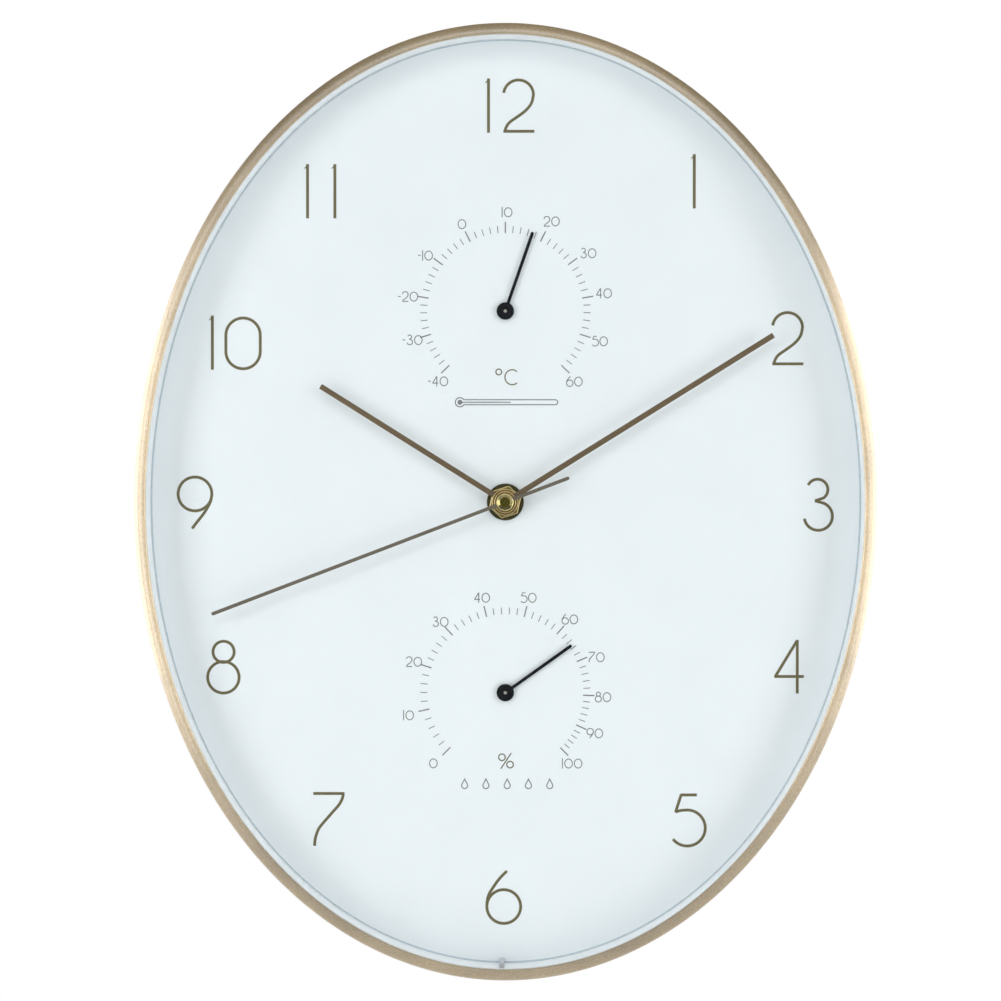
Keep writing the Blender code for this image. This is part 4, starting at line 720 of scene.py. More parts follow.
class Workshop:
    """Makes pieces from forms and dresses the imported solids."""

    def __init__(self, nodes: dict[str, bpy.types.Object]) -> None:
        """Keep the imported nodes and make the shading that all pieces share.

        Args:
            nodes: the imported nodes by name.
        """
        self.nodes = nodes
        self.shading = self.make_shading()
        self.dressed: set[str] = set()

    @staticmethod
    def make_shading() -> bpy.types.NodeTree:
        """Make the node group that shades a mesh smooth up to edges sharper than SHARP.

        Returns:
            The group.
        """
        group = bpy.data.node_groups.new("smooth_but_sharp_edges", "GeometryNodeTree")
        for side in ("INPUT", "OUTPUT"):
            group.interface.new_socket("Geometry", in_out=side, socket_type="NodeSocketGeometry")
        nodes = Nodes(group)
        mesh = nodes.add("NodeGroupInput").outputs[0]
        plain = nodes.add("GeometryNodeRemoveAttribute", None, mesh, Name="custom_normal")
        faces = nodes.add("GeometryNodeSetShadeSmooth", None, plain.outputs[0])
        angle = nodes.add("GeometryNodeInputMeshEdgeAngle").outputs[0]
        test = nodes.add("FunctionNodeCompare", {"operation": "LESS_THAN"}, angle, SHARP)
        edges = nodes.add("GeometryNodeSetShadeSmooth", {"domain": "EDGE"}, faces.outputs[0],
                          Shade_Smooth=test.outputs[0])
        nodes.add("NodeGroupOutput", None, edges.outputs[0])
        return group

    def soften(self, piece: bpy.types.Object, edge: float, steps: int, trim: int = -1) -> None:
        """Round an object's edges and shade it smooth.

        Args:
            piece: the object.
            edge: radius of the rounded edges in millimetres.
            steps: number of faces over each rounded edge.
            trim: material slot of the rounded edges, or -1 for that of their neighbours.
        """
        if edge:
            bevel = piece.modifiers.new("rounded_edges", "BEVEL")
            bevel.width = edge * MM
            bevel.segments = steps
            bevel.limit_method = "ANGLE"
            bevel.angle_limit = SHARP
            bevel.use_clamp_overlap = True
            bevel.material = trim
        smooth = piece.modifiers.new("shading", "NODES")
        smooth.node_group = self.shading

    def piece(self, name: str, form: Form, finish: Finish, body: Body = Body.CASE,
              stands_for: Sequence[str] = (), edge: float = 0.0, steps: int = 2,
              trim: Finish | None = None) -> None:
        """Make a piece, dress it and let it ride on its body.

        Args:
            name: name of the piece.
            form: its mesh.
            finish: its surface.
            body: the body that it rides on.
            stands_for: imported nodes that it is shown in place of.
            edge: radius of its rounded edges in millimetres.
            steps: number of faces over each rounded edge.
            trim: surface of the rounded edges, where it differs.
        """
        made = form.place(name)
        made.data.materials.append(finish.material())
        if trim:
            made.data.materials.append(trim.material())
        self.soften(made, edge, steps, 1 if trim else -1)
        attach(made, body.value)
        if stands_for:
            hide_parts(*stands_for)
            self.dressed.update(stands_for)
        LOG.info("piece %s: %d faces, %s, rides on %s", name, len(made.data.polygons),
                 finish.name, body.value)

    def dress(self, name: str, finish: Finish, edge: float = 0.0) -> None:
        """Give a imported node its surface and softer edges.

        Args:
            name: the node's name.
            finish: its surface.
            edge: radius of its rounded edges in millimetres.
        """
        node = self.nodes[name]
        for place in node.material_slots:
            place.link = "OBJECT"
            place.material = finish.material()
        weld = node.modifiers.new("weld", "WELD")
        weld.merge_threshold = WELD
        self.soften(node, edge, 1)
        self.dressed.add(name)
        LOG.info("node %s: %s", name, finish.name)


@dataclass
class Oval:
    """The case's outline, and rings that run at an inset inside it."""

    width: float
    height: float

    def spot(self, share: float, inset: float = 0.0) -> Point:
        """Point this share of the way round from the right, moved in square to the edge.

        Args:
            share: share of the way round, anticlockwise.
            inset: how far in, in millimetres.

        Returns:
            The point's x and y.
        """
        angle = math.tau * share
        across, along = self.width / 2, self.height / 2
        outward = math.atan2(across * math.sin(angle), along * math.cos(angle))
        return polar(-inset, outward, (across * math.cos(angle), along * math.sin(angle)))

    def swept(self, profile: Sequence[Point]) -> Form:
        """Run a closed section round the oval, with a chart of its run.

        Args:
            profile: inset and height of each point of the section.

        Returns:
            The form, charted in metres along and across the run.
        """
        shares = [step / OVAL_STEPS for step in range(OVAL_STEPS)]
        rings = [[(*self.spot(share, inset), height) for inset, height in profile]
                 for share in shares]
        form = Form().swept(rings)
        lengths = [0.0]
        for here, there in zip(profile, [*profile[1:], profile[0]]):
            lengths.append(lengths[-1] + math.dist(here, there) * MM)
        edge = [Vector(self.spot(share)) for share in [*shares, 0.0]]
        travel = [0.0]
        for here, there in zip(edge, edge[1:]):
            travel.append(travel[-1] + (there - here).length * MM)
        for row in range(OVAL_STEPS):
            for index in range(len(profile)):
                near, far = lengths[index], lengths[index + 1]
                form.charts.append([(travel[row], near), (travel[row], far),
                                    (travel[row + 1], far), (travel[row + 1], near)])
        return form


@dataclass
class Case:
    """Oval champagne frame, its glass and the white ring that holds glass and dial apart."""

    rim_width: float = 4.4
    round_depth: float = 3.0
    round_steps: int = 14
    rim_edge: float = 0.4
    lip_back: float = 40.3
    wall: float = 1.5
    bead_rise: float = 6.8
    bead_width: float = 1.4
    bead_height: float = 0.9
    bead_slope: float = 0.5
    ring_outer: float = 2.5
    ring_inner: float = 4.4
    ring_back: float = 24.3
    ring_front: float = 37.7
    ring_round: float = 0.35
    lug_width: float = 1.8
    lug_height: float = 2.1
    lug_sink: float = 0.5
    lug_shift: float = -1.2
    lug_seat: float = 0.02
    lug_drop: float = 0.4
    lug_edge: float = 0.2

    def rim_profile(self, depth: float) -> list[Point]:
        """Section of the frame: wall, rounded front, lip and clip bead.

        Args:
            depth: the frame's full depth.

        Returns:
            Inset and height of each point.
        """
        front = []
        reach = self.rim_width - self.rim_edge
        for step in range(self.round_steps + 1):
            angle = math.pi / 2 * step / self.round_steps
            front.append((reach * (1 - math.cos(angle)),
                          depth - self.round_depth * (1 - math.sin(angle))))
        corner = rounding(self.rim_width, depth, self.rim_edge)[1:]
        bead, crest = self.bead_rise + self.bead_width, self.wall + self.bead_height
        return [(0.0, 0.0), *front, *corner,
                (self.rim_width, self.lip_back), (self.wall, self.lip_back), (self.wall, bead),
                (crest, bead), (crest, self.bead_rise + self.bead_slope),
                (self.wall, self.bead_rise), (self.wall, 0.0)]

    def ring_profile(self) -> list[Point]:
        """Section of the white ring, its front inner edge rounded.

        Returns:
            Inset and height of each point.
        """
        return [(self.ring_outer, self.ring_back), (self.ring_outer, self.ring_front),
                *rounding(self.ring_inner, self.ring_front, self.ring_round),
                (self.ring_inner, self.ring_back)]

    def build(self, shop: Workshop) -> Oval:
        """Make the pieces and dress the glass.

        Args:
            shop: where pieces are made.

        Returns:
            The case's outline.
        """
        low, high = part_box("outer_frame")
        size = (high - low) / MM
        oval = Oval(size.x, size.z)
        shop.piece("frame_rim", oval.swept(self.rim_profile(size.y)), CHAMPAGNE,
                   stands_for=["outer_frame"])
        shop.piece("spacer_ring_wall", oval.swept(self.ring_profile()), WHITE_RING,
                   stands_for=["spacer_ring"])
        foot = -(size.z / 2 - self.ring_inner)
        half = self.lug_width / 2
        top = foot + self.lug_height - half
        outline = [(half, foot - self.lug_sink), *arc((0.0, top), half, 0.0, 180.0, 12),
                   (-half, foot - self.lug_sink)]
        lug = Form().flat([outline], self.ring_back + self.lug_seat,
                          self.ring_front - self.lug_drop)
        # The lug is shown in its painted shade grey, not in the ring's white.
        shop.piece("spacer_ring_lug", lug.moved(self.lug_shift), LUG_SHADED_WHITE, edge=self.lug_edge)
        shop.dress("glass_lens", GLASS)
        return oval


STROKES: dict[str, list[tuple[list[Point], bool]]] = {
    "0": [([*arc((0.0, 13.1), 6.55, 0.0, 180.0, 32), *arc((0.0, 6.9), 6.55, 180.0, 360.0, 32)],
           True)],
    "1": [([(0.0, 0.0), (0.0, 20.6)], False)],
    "2": [([*arc((0.0, 14.32), 5.67, 172.0, 0.0, 28),
            *flowing([(5.67, 14.32), (5.03, 11.46), (3.58, 9.29), (1.83, 7.66), (0.3, 6.55),
                      (-1.22, 5.48), (-2.86, 4.38), (-3.96, 3.31), (-4.61, 2.21), (-5.03, 1.14),
                      (-5.2, 0.3)], 3)[1:]], False),
          ([(-5.75, 0.54), (6.02, 0.54)], False)],
    "3": [([*arc((-0.15, 16.03), 3.92, 155.0, -56.0, 32), (-1.14, 11.75)], False),
          ([*arc((0.15, 5.9), 5.35, 190.0, 428.0, 40), (-1.14, 11.75)], False)],
    "4": [([(0.0, 0.0), (0.0, 20.4)], False), ([(-0.05, 20.2), (-8.35, 6.47)], False),
          ([(-8.75, 6.47), (2.51, 6.47)], False)],
    "5": [([(3.66, 19.96), (-2.4, 19.96)], False), ([(-2.25, 20.2), (-4.45, 13.35)], False),
          ([*flowing([(-4.5, 13.4), (-2.74, 13.98), (0.0, 14.21)])[:-1],
            *arc((0.0, 7.35), 6.86, 90.0, -142.0, 40)], False)],
    "6": [(circle(6.44, (0.0, 6.78), 48), True),
          (flowing([(-6.44, 6.78), (-6.28, 9.18), (-5.71, 11.24), (-4.57, 13.29), (-1.83, 17.18),
                    (1.2, 20.35)]), False)],
    "7": [([(-5.9, 19.99), (6.02, 19.99)], False),
          (flowing([(5.6, 19.9), (5.07, 17.79), (3.85, 15.61), (1.94, 13.41), (0.04, 11.24),
                    (-1.87, 9.06), (-3.77, 6.63), (-4.76, 4.19), (-5.26, 1.98), (-5.41, 0.0)]),
           False)],
    "8": [(circle(4.04, (0.04, 15.96), 40), True), (circle(6.0, (-0.04, 6.25), 48), True)],
    "9": [(circle(6.44, (0.0, 13.52), 48), True),
          (flowing([(6.44, 13.52), (6.36, 12.64), (5.83, 10.47), (4.46, 7.77), (2.55, 5.03),
                    (0.38, 2.32), (-1.1, 0.3)]), False)],
}
DIGIT_HEIGHT = 20.6


@dataclass
class Digits:
    """Thin round digits, drawn as the pen strokes of STROKES and scaled to their size."""

    stroke: float
    scale: float = 1.0
    small: bool = False
    oval: Point = (7.6, 8.95)
    oval_middle: float = 9.95
    flag: tuple[Point, ...] = ((0.11, 20.6), (-1.29, 19.0), (-1.29, 18.7))
    flag_ends: Point = (19.9, 19.2)

    def lines(self, digit: str) -> list[tuple[list[Point], bool]]:
        """Middle lines of a digit's strokes.

        Args:
            digit: the digit. A small 0 is a plain oval.

        Returns:
            Each line and whether it closes on itself, round x = 0 and above y = 0.
        """
        if digit == "0" and self.small:
            wide, high = self.oval
            return [([(wide * x, self.oval_middle + high * y) for x, y in circle(1.0, steps=48)],
                     True)]
        return STROKES[digit]

    def patches(self, digit: str, right: float, up: float) -> Patches:
        """Flat patches of one digit.

        Args:
            digit: the digit.
            right: place of its middle, in millimetres from the hands' axis.
            up: place of its foot.

        Returns:
            Patches that together cover its strokes.
        """
        found = []
        for line, closed in self.lines(digit):
            found += ribbon(line, self.stroke / self.scale, closed)
        if digit == "1" and not self.small:
            half = self.stroke / 2
            found.append([(half, self.flag_ends[0]), (half, DIGIT_HEIGHT), *self.flag,
                          (-half, self.flag_ends[1])])
        return [[(right + x * self.scale, up + y * self.scale) for x, y in patch]
                for patch in found]


@dataclass
class Gauge:
    """A round scale printed on the dial, with its ticks, numbers and unit sign."""

    name: str
    body: Body
    middle: float
    turn: float
    length: float
    angles: tuple[float, ...]
    labels: tuple[tuple[str, float, float], ...]
    pointer_width: float = 1.2
    hub: float = 3.3
    long_tick: Point = (29.6, 33.9)
    short_tick: Point = (29.75, 32.35)
    long_width: float = 0.46
    short_width: float = 0.31
    divisions: int = 5


@dataclass
class Dial:
    """Satin dial plate with its printed numerals, scales and signs."""

    front: float = 24.0
    sink: float = 0.01
    proud: float = 0.03
    stroke: float = 1.1
    label_stroke: float = 0.36
    label_scale: float = 0.19
    sign_stroke: float = 0.46
    mark_stroke: float = 0.4
    # Inset and width of the painted shadow line at the foot of the ring's wall.
    shadow_line_inset: float = 4.75
    shadow_line_width: float = 0.6
    label_gap: float = 0.55
    label_width: float = 2.35
    narrow: tuple[tuple[str, float], ...] = (("1", 0.4), ("-", 1.0), ("0", 3.1))
    nudges: tuple[tuple[str, float], ...] = (("4", 0.59),)
    numerals: tuple[tuple[str, float, float], ...] = (
        ("1", -6.4, 140.2), ("2", 5.0, 140.2), ("1", 71.7, 111.4), ("2", 107.1, 51.9),
        ("3", 118.7, -11.3), ("4", 110.95, -72.8), ("5", 69.2, -131.4), ("6", -0.6, -160.9),
        ("7", -67.3, -131.1), ("8", -107.4, -73.1), ("9", -118.2, -10.5), ("1", -111.5, 50.3),
        ("0", -99.8, 50.3), ("1", -75.2, 107.8), ("1", -64.8, 107.8))

    def printed(self, patches: Patches) -> Form:
        """Film of ink over the patches."""
        return Form().flat(patches, self.front - self.sink, self.front + self.proud)

    def build(self, shop: Workshop, oval: Oval, gauges: Sequence[Gauge]) -> None:
        """Dress the dial plate and print it.

        Args:
            shop: where pieces are made.
            oval: the case's outline.
            gauges: the scales that are printed on it.
        """
        shop.dress("dial_plate", SATIN_DIAL)
        # Painted shadow: a thin blue-grey ink line round the dial's edge, where the ring's wall
        # meets the dial.
        shares = [step / OVAL_STEPS for step in range(OVAL_STEPS)]
        edge = [oval.spot(share, self.shadow_line_inset) for share in shares]
        foot_shadow = self.printed(ribbon(edge, self.shadow_line_width, closed=True))
        shop.piece("dial_foot_painted_shadow", foot_shadow, FOOT_SHADOW_INK)
        pen = Digits(self.stroke)
        patches = []
        for digit, right, up in self.numerals:
            patches += pen.patches(digit, right, up)
        shop.piece("hour_numerals", self.printed(patches), NUMERAL_INK)
        for gauge in gauges:
            self.print_scale(shop, gauge)
        upper, lower = gauges
        shop.piece("celsius_sign", self.printed(self.celsius(upper.middle)), NUMERAL_INK)
        shop.piece("percent_sign", self.printed(self.percent(lower.middle)), NUMERAL_INK)
        shop.piece("thermometer_mark", self.printed(self.tube(upper.middle)), SCALE_INK)
        shop.piece("humidity_mark", self.printed(self.drops(lower.middle)), SCALE_INK)

    def celsius(self, middle: float) -> Patches:
        """Degree ring and the letter C below the upper scale.

        Args:
            middle: height of the scale's middle over the hands' axis.

        Returns:
            Patches of its strokes.
        """
        ring = circle(1.1, (-2.5, middle - 23.1), 32)
        wide, high, centre = 2.75, 2.85, (2.6, middle - 25.1)
        letter = [(centre[0] + wide * x, centre[1] + high * y)
                  for x, y in arc((0.0, 0.0), 1.0, 48.0, 312.0, 40)]
        return ribbon(ring, self.sign_stroke, closed=True) + ribbon(letter, self.sign_stroke)

    def percent(self, middle: float) -> Patches:
        """Per cent sign below the lower scale.

        Args:
            middle: height of the scale's middle over the hands' axis.

        Returns:
            Patches of its strokes.
        """
        across, centre = 0.25, middle - 26.1
        (aside, above), reach, slant = (1.54, 1.4), 1.25, (2.0, 3.0)
        found = []
        for side in (-1, 1):
            ring = circle(reach, (across + aside * side, centre - above * side), 32)
            found += ribbon(ring, self.sign_stroke, closed=True)
        return found + ribbon([(across - slant[0], centre - slant[1]),
                               (across + slant[0], centre + slant[1])], self.sign_stroke)

    def tube(self, middle: float) -> Patches:
        """Outline of a thermometer that lies on its side.

        Args:
            middle: height of the scale's middle over the hands' axis.

        Returns:
            Patches of its strokes.
        """
        left, right, height = -19.0, 19.9, middle - 34.6
        bulb, bore, filled = 1.75, 0.95, 21.0
        half = math.degrees(math.asin(bore / bulb))
        outline = [*arc((left + bulb, height), bulb, half, 360.0 - half, 32),
                   *arc((right - bore, height), bore, -90.0, 90.0, 16)]
        thread = [(left + bulb, height), (left + filled, height)]
        return [*ribbon(outline, self.mark_stroke, closed=True), circle(bore, thread[0], 32),
                *ribbon(thread, self.mark_stroke)]

    def drops(self, middle: float) -> Patches:
        """Row of five water drops.

        Args:
            middle: height of the scale's middle over the hands' axis.

        Returns:
            Patches of its strokes.
        """
        found = []
        start, pitch, height, radius, tip = 0.7, 8.1, middle - 35.5, 1.15, 2.5
        for place in (-2, -1, 0, 1, 2):
            centre = (start + pitch * place, height)
            outline = [*arc(centre, radius, -215.0, 35.0, 32), (centre[0], height + tip)]
            found += ribbon(outline, self.mark_stroke, closed=True)
        return found

    def print_scale(self, shop: Workshop, gauge: Gauge) -> None:
        """Print one gauge's ticks and numbers.

        Args:
            shop: where pieces are made.
            gauge: the scale.
        """
        ticks = []
        steps = gauge.divisions
        for angle, further in zip(gauge.angles, [*gauge.angles[1:], gauge.angles[-1]]):
            for part in range(steps if further != angle else 1):
                turn = math.radians(90.0 - angle - (further - angle) * part / steps)
                ends = gauge.short_tick if part else gauge.long_tick
                ticks += ribbon([polar(reach, turn, (0.0, gauge.middle)) for reach in ends],
                                gauge.short_width if part else gauge.long_width)
        shop.piece(f"{gauge.name}_ticks", self.printed(ticks), SCALE_INK)
        patches = []
        pen = Digits(self.label_stroke, self.label_scale, small=True)
        for text, right, up in gauge.labels:
            patches += self.label(pen, text, right, gauge.middle + up)
        shop.piece(f"{gauge.name}_numbers", self.printed(patches), SCALE_INK)

    def label(self, pen: Digits, text: str, right: float, up: float) -> Patches:
        """Patches of a small number.

        Args:
            pen: the digits that it is drawn with.
            text: the number, perhaps with a hyphen as its sign.
            right: x of its middle.
            up: height of its middle.

        Returns:
            Patches that together cover its strokes.
        """
        widths, nudges = dict(self.narrow), dict(self.nudges)
        advance = [widths.get(sign, self.label_width) for sign in text]
        edge = right - (sum(advance) + self.label_gap * (len(text) - 1)) / 2
        foot = up - DIGIT_HEIGHT * pen.scale / 2
        found = []
        for sign, width in zip(text, advance):
            middle = edge + width / 2
            if sign == "-":
                found += ribbon([(middle - width / 2, up), (middle + width / 2, up)], pen.stroke)
            else:
                found += pen.patches(sign, middle + nudges.get(sign, 0.0), foot)
            edge += width + self.label_gap
        return found


@dataclass
class Hands:
    """Hour, minute and second hands on their collets, with the nut, washer and cap."""

    washer_radius: float = 7.0
    washer_bore: float = 4.3
    washer_back: float = 24.3
    washer_front: float = 25.0
    nut_back: float = 25.3
    nut_front: float = 27.5
    nut_width: float = 11.0
    nut_turn: float = 17.3
    nut_bore: float = 4.0
    hour: tuple[float, ...] = (302.1, 82.6, 2.05, 5.0, 2.6, 28.4, 29.7)
    minute: tuple[float, ...] = (58.1, 119.4, 2.08, 4.1, 1.65, 30.0, 31.3)
    flange: float = 0.4
    blade: float = 0.4
    blade_inset: float = 0.15
    blade_fit: float = 0.05
    hub_wall: float = 1.0
    second_turn: float = 249.1
    second_length: float = 119.0
    second_tail: float = 26.0
    second_width: float = 1.33
    second_eye: float = 2.4
    second_back: float = 31.6
    second_front: float = 32.1
    cap_radius: float = 3.2
    cap_back: float = 32.4
    cap_top: float = 33.5
    dish_radius: float = 2.88
    floor_radius: float = 1.95
    dish_depth: float = 0.57
    dish_bore: float = 0.3
    dish_waist: float = 1.1
    dish_fall: Point = (0.1, 0.12)
    cap_seats: Point = (0.05, 0.1)
    slope_drop: float = 0.06
    washer_edge: float = 0.12
    nut_edge: float = 0.3
    collet_edge: float = 0.22
    blade_edge: float = 0.1
    pin_edge: float = 0.08

    def build(self, shop: Workshop) -> None:
        """Make every piece on the hands' axis, from the dial outward.

        Args:
            shop: where pieces are made.
        """
        washer = sleeve(self.washer_bore, self.washer_radius, self.washer_back, self.washer_front)
        shop.piece("dial_washer_disc", Form().turned(washer), DARK_STEEL,
                   stands_for=["dial_washer"], edge=self.washer_edge)
        outline = circle(self.nut_width / 2 / math.cos(math.pi / 6), steps=6)
        nut = Form().flat(self.ring_patches(outline, circle(self.nut_bore)), self.nut_back,
                          self.nut_front)
        nut.spun(-math.radians(self.nut_turn))
        # The nut's rounded edges carry the painted highlight colour.
        shop.piece("hex_nut_body", nut, NUT_BRASS, stands_for=["hex_nut"], edge=self.nut_edge,
                   trim=BRONZE_PAINTED_HIGHLIGHT)
        for name, body, sizes in (("hour", Body.HOURS, self.hour),
                                  ("minute", Body.MINUTES, self.minute)):
            self.hand(shop, name, body, sizes)
        self.second_hand(shop)

    @staticmethod
    def ring_patches(outer: Sequence[Point], inner: Sequence[Point]) -> Patches:
        """Fill the space between an outline and a round bore.

        Args:
            outer: points of the outline, the first at an angle of 0.
            inner: points of the bore, the first at an angle of 0.

        Returns:
            One patch for each stretch of the bore.
        """
        count = len(inner)
        edge = []
        for index in range(count):
            angle = math.tau * index / count
            side = math.floor(index * len(outer) / count)
            start, end = Vector(outer[side]), Vector(outer[(side + 1) % len(outer)])
            ray = Vector((math.cos(angle), math.sin(angle)))
            along = end - start
            share = (start.x * ray.y - start.y * ray.x) / (ray.x * along.y - ray.y * along.x)
            edge.append(tuple(start + along * share))
        return [[edge[i], edge[(i + 1) % count], inner[(i + 1) % count], inner[i]]
                for i in range(count)]

    def hand(self, shop: Workshop, name: str, body: Body, sizes: Sequence[float]) -> None:
        """Make a hand: a lacquered blade under the flange of a turned brass collet.

        Args:
            shop: where pieces are made.
            name: which hand it is.
            body: the body that it rides on.
            sizes: turn in degrees, then length, width, eye, bore, back and front.
        """
        turn, length, width, eye, bore, back, front = sizes
        hub = bore + self.hub_wall
        seat = front - self.flange
        collet = [(bore, back), (hub, back), (hub, seat - self.blade), (hub, seat), (eye, seat),
                  (eye, front), (bore, front)]
        # The collet's rounded edges carry the painted highlight colour.
        shop.piece(f"{name}_hand_collet", Form().turned(collet), COLLET, body,
                   edge=self.collet_edge, trim=BRONZE_PAINTED_HIGHLIGHT)
        patches = self.ring_patches(circle(eye - self.blade_inset), circle(hub + self.blade_fit))
        patches.append(strip(width / 2, (hub + eye) / 2, length))
        blade = Form().flat(patches, seat - self.blade, seat).spun(math.radians(turn))
        shop.piece(f"{name}_hand_blade", blade, BRONZE, body, [f"{name}_hand"],
                   edge=self.blade_edge)

    def second_hand(self, shop: Workshop) -> None:
        """Make the second hand and its dished brass cap.

        Args:
            shop: where pieces are made.
        """
        half = self.second_width / 2
        far, tail = self.second_length - half, self.second_tail - half
        patches = [circle(self.second_eye), strip(half, -tail, far),
                   circle(half, (0.0, far), TIP_STEPS), circle(half, (0.0, -tail), TIP_STEPS)]
        blade = Form().flat(patches, self.second_back, self.second_front)
        blade.spun(math.radians(self.second_turn))
        shop.piece("second_hand_blade", blade, GREY_BRONZE, Body.SECONDS, ["second_hand"],
                   edge=self.blade_edge)
        bead = (self.cap_radius - self.dish_radius) / 2
        floor = self.cap_top - self.dish_depth
        low, seat = (self.cap_back + rise for rise in self.cap_seats)
        top = [(self.cap_radius - bead - bead * math.cos(turn),
                self.cap_top - bead + bead * math.sin(turn))
               for turn in (math.pi * step / 16 for step in range(4, 17))]
        ring = [(self.dish_radius, self.cap_back), *top, (self.cap_radius, self.cap_back)]
        shop.piece("second_hand_cap_ring", Form().turned(ring), POLISHED, Body.SECONDS,
                   ["second_hand_cap"])
        slope = [(self.floor_radius, seat), (self.dish_radius, seat),
                 (self.dish_radius, self.cap_top - self.slope_drop), (self.floor_radius, floor)]
        shop.piece("second_hand_cap_slope", Form().turned(slope), DISH, Body.SECONDS)
        dish = [(self.dish_bore, low), (self.floor_radius, low), (self.floor_radius, floor),
                (self.dish_waist, floor - self.dish_fall[0]),
                (self.dish_bore, floor - self.dish_fall[1])]
        # The dish floor is coloured with painted shade, darker than the cap's ring and slope.
        shop.piece("second_hand_cap_dish", Form().turned(dish), DISH_SHADED_BRASS, Body.SECONDS)
        pin = circle(self.dish_bore, steps=TIP_STEPS)
        shop.piece("second_hand_pin", Form().flat([pin], low, floor - self.slope_drop),
                   DARK_STEEL, Body.SECONDS, edge=self.pin_edge)


@dataclass
class Pointer:
    """Pointer of a round scale: a small hub and a thin blade with a round tip."""

    gauge: Gauge
    hub_back: float = 24.9
    hub_front: float = 25.8
    blade_back: float = 25.2
    blade_front: float = 25.6
    bore: float = 0.62
    lap: float = 0.3
    hub_edge: float = 0.2
    blade_edge: float = 0.08

    def build(self, shop: Workshop) -> None:
        """Make the hub and the blade.

        Args:
            shop: where pieces are made.
        """
        gauge = self.gauge
        hub = sleeve(self.bore, gauge.hub, self.hub_back, self.hub_front)
        shop.piece(f"{gauge.name}_pointer_hub", Form().turned(hub, (0.0, gauge.middle)),
                   BLACK_LACQUER, gauge.body, [f"{gauge.name}_pointer"], edge=self.hub_edge,
                   steps=3)
        half = gauge.pointer_width / 2
        tip = gauge.length - half
        patches = [strip(half, gauge.hub - self.lap, tip), circle(half, (0.0, tip), TIP_STEPS)]
        blade = Form().flat(patches, self.blade_back, self.blade_front)
        blade.spun(math.radians(gauge.turn)).moved(up=gauge.middle)
        shop.piece(f"{gauge.name}_pointer_blade", blade, BLACK_LACQUER, gauge.body,
                   edge=self.blade_edge)


@dataclass
class Movement:
    """Parts of the quartz movement that need a fuller form: the wound coil and the cell."""

    coil_ends: Point = (-13.01, -2.81)
    coil_middle: Point = (22.7, 9.75)
    coil_outer: float = 3.3
    coil_inner: float = 2.4
    wire: float = 0.42
    cell_ends: Point = (-24.25, 26.25)
    cell_middle: Point = (-19.35, 10.25)
    cell_radius: float = 7.25
    button_radius: float = 2.7
    button_length: float = 1.1
    sleeve_wall: float = 0.12
    sleeve_lip: float = 0.7
    sleeve_lap: float = 0.05
    band_length: float = 12.0
    can_bore: float = 0.02
    can_bevel: float = 0.6
    can_edge: float = 0.25
    fine_edge: float = 0.05
    wire_sink: float = 0.8

    def build(self, shop: Workshop) -> None:
        """Make the coil and the cell.

        Args:
            shop: where pieces are made.
        """
        core = sleeve(self.coil_inner, self.coil_outer - self.wire * self.wire_sink,
                      *self.coil_ends)
        shop.piece("coil_winding_layers", Form().turned(core, self.coil_middle, lying=True),
                   COPPER, stands_for=["coil_winding"], edge=self.fine_edge)
        turns = Form().wound(self.coil_ends, self.coil_middle, self.coil_outer, self.wire)
        shop.piece("coil_winding_turns", turns, COPPER)
        self.cell(shop)

    def cell(self, shop: Workshop) -> None:
        """Make the dry cell: a plated can in a sleeve of two colours.

        Args:
            shop: where pieces are made.
        """
        start, end = self.cell_ends
        shoulder = end - self.button_length
        can, bevel = self.cell_radius - self.sleeve_wall, self.can_bevel
        body = [(self.can_bore, start), (can - bevel, start), (can, start + bevel),
                (can, shoulder - bevel), (can - bevel, shoulder), (self.button_radius, shoulder),
                (self.button_radius, end), (self.can_bore, end)]
        shop.piece("battery_can", Form().turned(body, self.cell_middle, lying=True), NICKEL,
                   stands_for=["battery"], edge=self.can_edge)
        split = shoulder - self.band_length
        for name, low, high, finish in (
                ("battery_sleeve", start + self.sleeve_lip, split, SLEEVE),
                ("battery_band", split, shoulder - self.sleeve_lip, SLEEVE_BAND)):
            wrap = sleeve(can - self.sleeve_lap, self.cell_radius, low, high)
            shop.piece(name, Form().turned(wrap, self.cell_middle, lying=True), finish,
                       edge=self.fine_edge)


